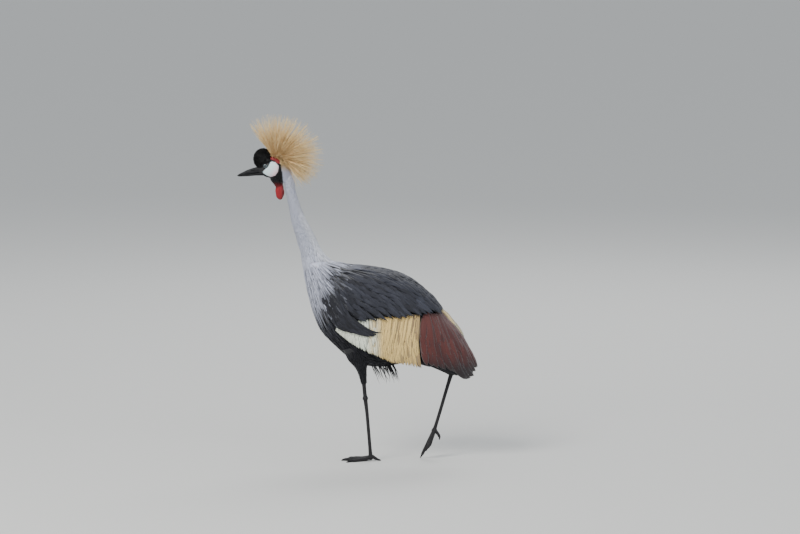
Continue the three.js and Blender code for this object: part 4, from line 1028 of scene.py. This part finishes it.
def bristle_fan(name, n, lean_to, reach_from, reach_to, foot, stray, thin):
    """A fan of n bristles: how far they lean sideways, their shares of the reach, how far out they root."""
    share = (np.arange(n) + chance(n)) / n
    angle, reach = np.moveaxis(through(SPREAD, share * (len(SPREAD) - 1)), -1, 0)
    place = through(PAD_ROWS, mix(0.4, 2.95, share))
    lean = np.radians(lean_to) * either(n) * rng.uniform(0.35, 1, n) ** 0.4
    turn = np.minimum(np.radians(angle + stray * rng.normal(size=n)), np.radians(FOREMOST))
    ways = np.stack([np.cos(turn) * np.cos(lean), np.sin(lean), np.sin(turn) * np.cos(lean)], 1)
    root = np.stack([place[:, 0], place[:, 4] * 0.6 * np.sin(lean), place[:, 2]], 1) + ways * foot
    length = REACH * reach * mix(reach_from, reach_to, chance(n) ** 1.1) - 4
    t = np.linspace(0, 1, 11)[None, :, None]
    sway = unit(np.cross(ways, rng.normal(size=(n, 3))))
    swing = np.cross(ways, sway)
    curl = (1.5 + 5 * smooth(-angle, 0, 40))[:, None, None] * varied(n, 0.5)[:, None, None]
    spine = root[:, None] + ways[:, None] * length[:, None, None] * t
    spine += sway[:, None] * 4.5 * either(n, 1, 1) * t**2
    wave = t * rng.uniform(8, 16, (n, 1, 1)) + rng.uniform(0, 6, (n, 1, 1))
    spine += (sway[:, None] * np.sin(wave) + swing[:, None] * np.cos(wave)) * curl * 0.3 * t**1.5
    spine[..., 2] -= 6 * t[..., 0] ** 2
    twist = t * 14 + rng.uniform(0, 6, (n, 1, 1))
    normal = sway[:, None] * np.cos(twist) + swing[:, None] * np.sin(twist)
    pale = np.clip(t[..., 0] * 1.1 * reach_to - 0.25 + 0.15 * rng.normal(size=(n, 1)), 0, 1)[..., None]
    tone = mix(GOLD * mix(0.8, 1.08, chance(n, 1, 1)), PALE_GOLD, pale)
    bake = np.stack([0.08 + 0.84 * share, 0.5 + 0.45 * lean / math.radians(90)], 1)
    profile = [1, 1, 1, 0.95, 0.9, 0.85, 0.8, 0.7, 0.55, 0.4, 0.2]
    return vanes(name, spine, normal, thin * varied(n, 0.25), profile, tone, bake, thick=0.7, camber=0.3)


bristles = bristle_fan("crown_bristles", 1700, 50, 1.0, 0.48, 6.5, 8, 1.1)
crown_foot = bristle_fan("crown_foot", 700, 84, 0.34, 0.12, 4.0, 12, 0.9)
gold = plain("gold_bristle", {"Roughness": 0.55, "Sheen Weight": 0.15})
finish(bristles, gold, "crown_gold", "crown")
finish(crown_foot, gold, "crown_gold")

# The eyes are glossy balls with a pale blue-grey iris and a dark pupil.
# Each sits deep in the face, behind the bill, in a bare, dark and slightly knobbly lid.
LID_RADIUS = 6.7
LID_OUT = 4.4
LID_STEPS, LID_SIDES = 64, 16
BALL = EYE_RADIUS - 0.1
PUPIL, IRIS = 30, 47
glass = plain("eye_glass", {"Roughness": 0.08, "Coat Weight": 0.8, "Coat Roughness": 0.03})
lid_skin = plain("lid_skin", {"Base Color": (0.012, 0.012, 0.014, 1), "Roughness": 0.5})
for way, word in SIDES:
    centre = EYE * [1, way, 1]
    rings = ball_rings([0, 0, 0], [BALL] * 3, rows=60, sides=72) / MM
    look = rings @ np.array([-0.18, 0, 0]) + rings[..., 1] * way * 0.98
    off_axis = np.degrees(np.arccos(np.clip(look / BALL, -1, 1))).reshape(-1, 1)
    eye = tube(f"eye_ball_{word}", (rings + centre) * MM)
    # Painted shade: the pale blue-grey iris is painted a darker teal, darker still towards its rim, for the
    # shade the deep-set eye lies in.
    tones = mix(colour(92, 116, 124), colour(46, 62, 70), smooth(off_axis, PUPIL, IRIS - 1))
    tones = mix(tones, colour(12, 14, 18), smooth(off_axis, IRIS - 2, IRIS + 2))
    tones = mix(colour(4, 4, 6), tones, smooth(off_axis, PUPIL - 1, PUPIL + 1))
    paint_points(eye.data, tones)
    finish(eye, glass, "eye", f"eye_{word}")
    a, b = circle(LID_STEPS)[:, None], circle(LID_SIDES)[None]
    thick = 1.15 + 0.15 * np.sin(a * 9)
    radius = LID_RADIUS + thick * np.cos(b)
    rim = np.stack([np.cos(a) * radius * 1.02, way * thick * np.sin(b), np.sin(a) * radius * 0.9], -1)
    rim = rim + centre + np.array([0, way * LID_OUT, 0])
    ids = np.arange(LID_STEPS * LID_SIDES).reshape(LID_STEPS, LID_SIDES)
    beside = np.roll(ids, -1, 1)
    faces = np.stack([ids, beside, np.roll(beside, -1, 0), np.roll(ids, -1, 0)], -1)
    lid = new_mesh(f"eye_lid_{word}", rim * MM, list(faces.reshape(-1, 4)))
    finish(lid, lid_skin, "velvet_black")

# The bill is two halves of dark horn that meet along the mouth.
# It is stout, tapers evenly, and has a slit nostril on each side in a shallow groove.
UPPER_BILL = [[-284, 0, 894, 9.5, 9.4], [-300, 0, 892.5, 9.5, 8], [-316, 0, 889.5, 9.1, 6.8],
              [-333, 0, 885.4, 7.4, 5.2], [-349, 0, 880.6, 4.9, 3.8], [-361, 0, 876.8, 2.9, 2.4],
              [-368, 0, 874.2, 0.5, 0.5]]
LOWER_BILL = [[-284, 0, 881, 6.5, 8.4], [-300, 0, 880.5, 5.6, 7], [-316, 0, 879, 4.6, 5.8],
              [-333, 0, 876.5, 3.6, 4.4], [-349, 0, 874.5, 2.4, 3], [-361, 0, 873.2, 1.3, 1.8],
              [-365, 0, 872.9, 0.4, 0.5]]


def ramp(tree, factor, *stops):
    """A colour that goes through stops, each a position and a colour."""
    node = tree.nodes.new("ShaderNodeValToRGB")
    for element, (position, tint) in zip(node.color_ramp.elements, stops):
        element.position = position
        element.color = (*tint, 1)
    link(tree, factor, node.inputs["Fac"])
    return node.outputs["Color"]


horn, tree, shader = nodes_of("horn")
stretch = tree.nodes.new("ShaderNodeMapping")
set_sockets(stretch, {"Scale": (60, 400, 400)})
link(tree, own_space(tree), stretch.inputs["Vector"])
grain = noise(tree, stretch.outputs["Vector"], 1.0, 5)
dark_horn = ramp(tree, grain, (0.35, (0.006, 0.006, 0.007)), (0.75, (0.02, 0.021, 0.023)))
link(tree, dark_horn, shader.inputs["Base Color"])
relieve(tree, shader, grain, 0.12, 0.0003)
set_sockets(shader, {"Roughness": 0.5, "Specular IOR Level": 0.18})

MOUTH = np.array([-286, 0, 885.2])
MOUTH_NORMAL = unit(np.array([-0.147, 0, 0.989]))
LIP = 0.08
NOSTRIL_X, NOSTRIL_Z = -318, 891.3
GROOVE_X, GROOVE_Z = -322, 890.6
for word, rows, way in (("upper", UPPER_BILL, 1), ("lower", LOWER_BILL, -1)):
    rings = limb_rings(rows, sides=72, steps=14) / MM
    past = ((rings - MOUTH) @ MOUTH_NORMAL) * way - LIP
    rings = rings - MOUTH_NORMAL * way * np.minimum(past, 0)[..., None]
    if way == 1:
        x, z = rings[..., 0], rings[..., 2]
        slit = ((x - NOSTRIL_X) / 8) ** 2 + ((z - NOSTRIL_Z - 0.12 * (x - NOSTRIL_X)) / 1.7) ** 2
        groove = ((x - GROOVE_X) / 22) ** 2 + ((z - GROOVE_Z) / 3.4) ** 2
        push = 2.6 * np.clip(1.25 - slit, 0, 1) + 0.5 * np.clip(1 - groove, 0, 1)
        rings[..., 1] -= np.sign(rings[..., 1]) * np.minimum(push, np.abs(rings[..., 1]) * 0.8)
    bill = tube(f"bill_half_{word}", rings * MM)
    finish(bill, horn, "horn", f"bill_{word}")

# Legs: the bare shank, the knob of the ankle, the tarsus and four toes with claws.
# They are black, with broad plates down the front of the tarsus and over the toes, and fine scales behind.
scale_skin, tree, shader = nodes_of("scale_skin")
cells = tree.nodes.new("ShaderNodeTexVoronoi")
cells.feature = "DISTANCE_TO_EDGE"
set_sockets(cells, {"Scale": 330})
link(tree, own_space(tree), cells.inputs["Vector"])
scale = maths(tree, "MULTIPLY", cells.outputs["Distance"], 5.0, clamp=True)
black_scale = ramp(tree, scale, (0, (0.005, 0.005, 0.006)), (1, (0.03, 0.028, 0.03)))
link(tree, black_scale, shader.inputs["Base Color"])
relieve(tree, shader, scale, 0.6, 0.0006)
set_sockets(shader, {"Roughness": 0.5, "Specular IOR Level": 0.2})

HIP_HEIGHT = 330
FLOOR_GAP = 0.15
LEGS = {
    "left": {
        "side": -1, "hip_out": 30, "foot_out": 14, "ball": [38, 11],
        "shank": [[17, 252, 6.8, 6.4], [19.5, 218, 6, 5.4], [21.5, 199, 6.4, 5.8], [22, 192, 7.4, 6.8]],
        "tarsus": [[22, 194, 7.2, 6.6], [22.8, 186, 6.4, 6], [27, 149, 5.4, 4.8], [32, 90, 5.2, 4.6],
                   [36, 40, 5.4, 5], [38, 14, 6.6, 7]],
        "toes": {
            "middle": [[38, 0, 11, 7], [12, 0, 6.2, 6.6], [-14, 1, 5, 5.6], [-38, 1, 4, 4.6],
                       [-44, 1, 3.6, 4], [-52, 1, 1.4, 1.3]],
            "inner": [[36, -2, 11, 6.5], [16, -14, 6, 6.2], [-4, -27, 4.8, 5.2], [-22, -38, 3.9, 4.4],
                      [-33, -45, 1.4, 1.3]],
            "outer": [[36, 2, 11, 6.5], [16, 13, 6, 6.2], [-6, 25, 4.8, 5.2], [-24, 34, 3.9, 4.4],
                      [-36, 40, 1.4, 1.3]],
            "hind": [[42, 0, 14, 6], [52, 1, 8, 5], [61, 2, 3.8, 4.1], [70, 3, 1.4, 1.3]],
        },
    },
    "right": {
        "side": 1, "hip_out": 30, "foot_out": 34, "ball": [233.5, 86],
        "shank": [[214, 295, 6.8, 6.4], [254, 277, 6, 5.4], [278, 266, 6.4, 5.8], [285, 262, 7.4, 6.8]],
        "tarsus": [[285.5, 264, 7.2, 6.6], [283, 255, 6.4, 6], [271, 215, 5.4, 4.8], [253, 153, 5.2, 4.6],
                   [239, 106, 5.4, 5], [233.5, 88, 6.6, 7]],
        "toes": {
            "middle": [[233, 0, 86, 6.6], [219, 0, 58, 6], [206, 0, 32, 5.2], [197, 0, 14, 4.4],
                       [195, 0, 10, 3.8], [190, 0, 1.4, 1.4]],
            "inner": [[232, -3, 85, 6.2], [221, -12, 60, 5.4], [213, -20, 38, 4.4], [211, -21.5, 34, 3.8],
                      [208, -24, 26, 1.2]],
            "outer": [[233, 3, 85, 6.2], [226, 13, 60, 5.4], [221, 21, 40, 4.4], [219.6, 22.5, 36, 3.8],
                      [217, 25, 28, 1.2]],
            "hind": [[238, 0, 84, 5.6], [246, 0, 74, 4.6], [249, 0, 67, 4], [249.5, 0, 64, 3.4],
                     [249, 0, 57, 1.2]],
        },
    },
}
LEG_SIDES = 36


def leg_piece(name, rows, slot, material, nodes, plates, steps):
    """A tube over rows with raised plates along it, kept above the floor."""
    rings = limb_rings(rows, LEG_SIDES, steps) / MM
    middle = rings.mean(1, keepdims=True)
    run_length = np.concatenate([[0], np.cumsum(np.linalg.norm(np.diff(middle[:, 0], axis=0), axis=1))])
    ridge = np.abs(np.sin(run_length / plates * math.pi)) ** 0.35 if plates else np.ones_like(run_length)
    front = np.abs(np.cos(circle(LEG_SIDES))) ** 0.5
    depth = 1 + (0.1 * (ridge - 1))[:, None] * front[None]
    rings = middle + (rings - middle) * depth[..., None]
    rings[..., 2] = np.maximum(rings[..., 2], FLOOR_GAP)
    piece = tube(name, rings * MM)
    finish(piece, material, slot, *nodes)


for word, leg in LEGS.items():
    def sideways(z, leg=leg):
        t = min(1, max(0, (z - leg["ball"][1]) / (HIP_HEIGHT - leg["ball"][1])))
        return leg["side"] * mix(leg["foot_out"], leg["hip_out"], t)

    for part, plates in (("shank", 5.0), ("tarsus", 4.2)):
        rows = [[x, sideways(z), z, deep, wide] for x, z, deep, wide in leg[part]]
        leg_piece(f"{part}_skin_{word}", rows, "leg_scale", scale_skin, [f"{part}_{word}"], plates, 40)
    for label, (x, z), radii in (("ankle", leg["tarsus"][0][:2], (8.6, 7.8, 9.2)),
                                 ("ball", leg["ball"], (9, 8.6, 9.2))):
        rings = ball_rings([x, sideways(z), z], radii, rows=24, sides=32)
        rings[..., 2] = np.maximum(rings[..., 2], FLOOR_GAP * MM)
        knob = tube(f"{label}_skin_{word}", rings)
        finish(knob, scale_skin, "leg_scale")
    for toe, rows in leg["toes"].items():
        path = [[x, leg["side"] * (leg["foot_out"] + y), z, r, r] for x, y, z, r in rows]
        a, b = np.array(path[-3]), np.array(path[-2])
        joint = list(mix(a, b, 0.5))
        toe_rows = path[:-2] + [joint[:3] + [joint[3] * 0.92] * 2]
        nodes = [f"foot_{word}"] if toe == "middle" else []
        leg_piece(f"toe_{toe}_{word}", toe_rows, "leg_scale", scale_skin, nodes, 4.4, 30)
        tip = list(path[-1])
        claw_rows = [list(mix(a, b, 0.35)), list(b), list(mix(b, np.array(tip), 0.6)), tip]
        for row, slim in zip(claw_rows, (0.72, 0.8, 0.85, 0.7)):
            row[3], row[4] = row[3] * slim, row[4] * slim * 0.9
        leg_piece(f"claw_horn_{toe}_{word}", claw_rows, "horn", horn, [f"claw_{word}_{toe}"], 0, 8)

# Studio: a plain pale floor, soft light from the upper left, and the camera at the photograph's angle.
# The floor is wide enough for its far edge to stay away from the bird in every view.
paper = plain("floor_paper", {"Base Color": (0.62, 0.62, 0.6, 1), "Roughness": 0.9})
HALF_FLOOR = 90
corners = HALF_FLOOR * np.array([[-1, -1, 0], [1, -1, 0], [1, 1, 0], [-1, 1, 0]])
floor = new_mesh("floor", corners, [[0, 1, 2, 3]])
floor.data.materials.append(paper)
floor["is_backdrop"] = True


def area_light(name, place, target, size, watts, tint):
    data = bpy.data.lights.new(name, "AREA")
    data.shape = "DISK"
    data.size = size
    data.energy = watts
    data.color = tint
    lamp = put(name, data)
    lamp.location = place
    lamp.rotation_euler = (Vector(target) - Vector(place)).to_track_quat("-Z", "Y").to_euler()
    lamp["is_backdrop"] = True


area_light("key_light", (-3.2, -4.4, 5.2), (0, 0, 0.55), 3.0, 420, (1.0, 0.98, 0.94))
area_light("fill_light", (4.5, -4.6, 2.4), (0, 0, 0.5), 4.0, 110, (0.92, 0.96, 1.0))
area_light("rim_light", (1.2, 4.6, 4.8), (0, 0, 0.6), 3.4, 150, (1.0, 1.0, 1.0))
world = bpy.context.scene.world or bpy.data.worlds.new("studio")
bpy.context.scene.world = world
world.use_nodes = True
backdrop = world.node_tree.nodes.get("Background")
set_sockets(backdrop, {"Color": (0.86, 0.9, 0.95, 1), "Strength": 0.8})

lens = bpy.data.cameras.new("camera")
lens.sensor_width = 36
lens.lens = 177
camera = put("camera", lens)
target = Vector((0.128, 0, 0.595))
away, pitch = 12, math.radians(6)
camera.location = target + Vector((0, -away * math.cos(pitch), away * math.sin(pitch)))
camera.rotation_euler = (target - camera.location).to_track_quat("-Z", "Y").to_euler()
bpy.context.scene.camera = camera

low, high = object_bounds()
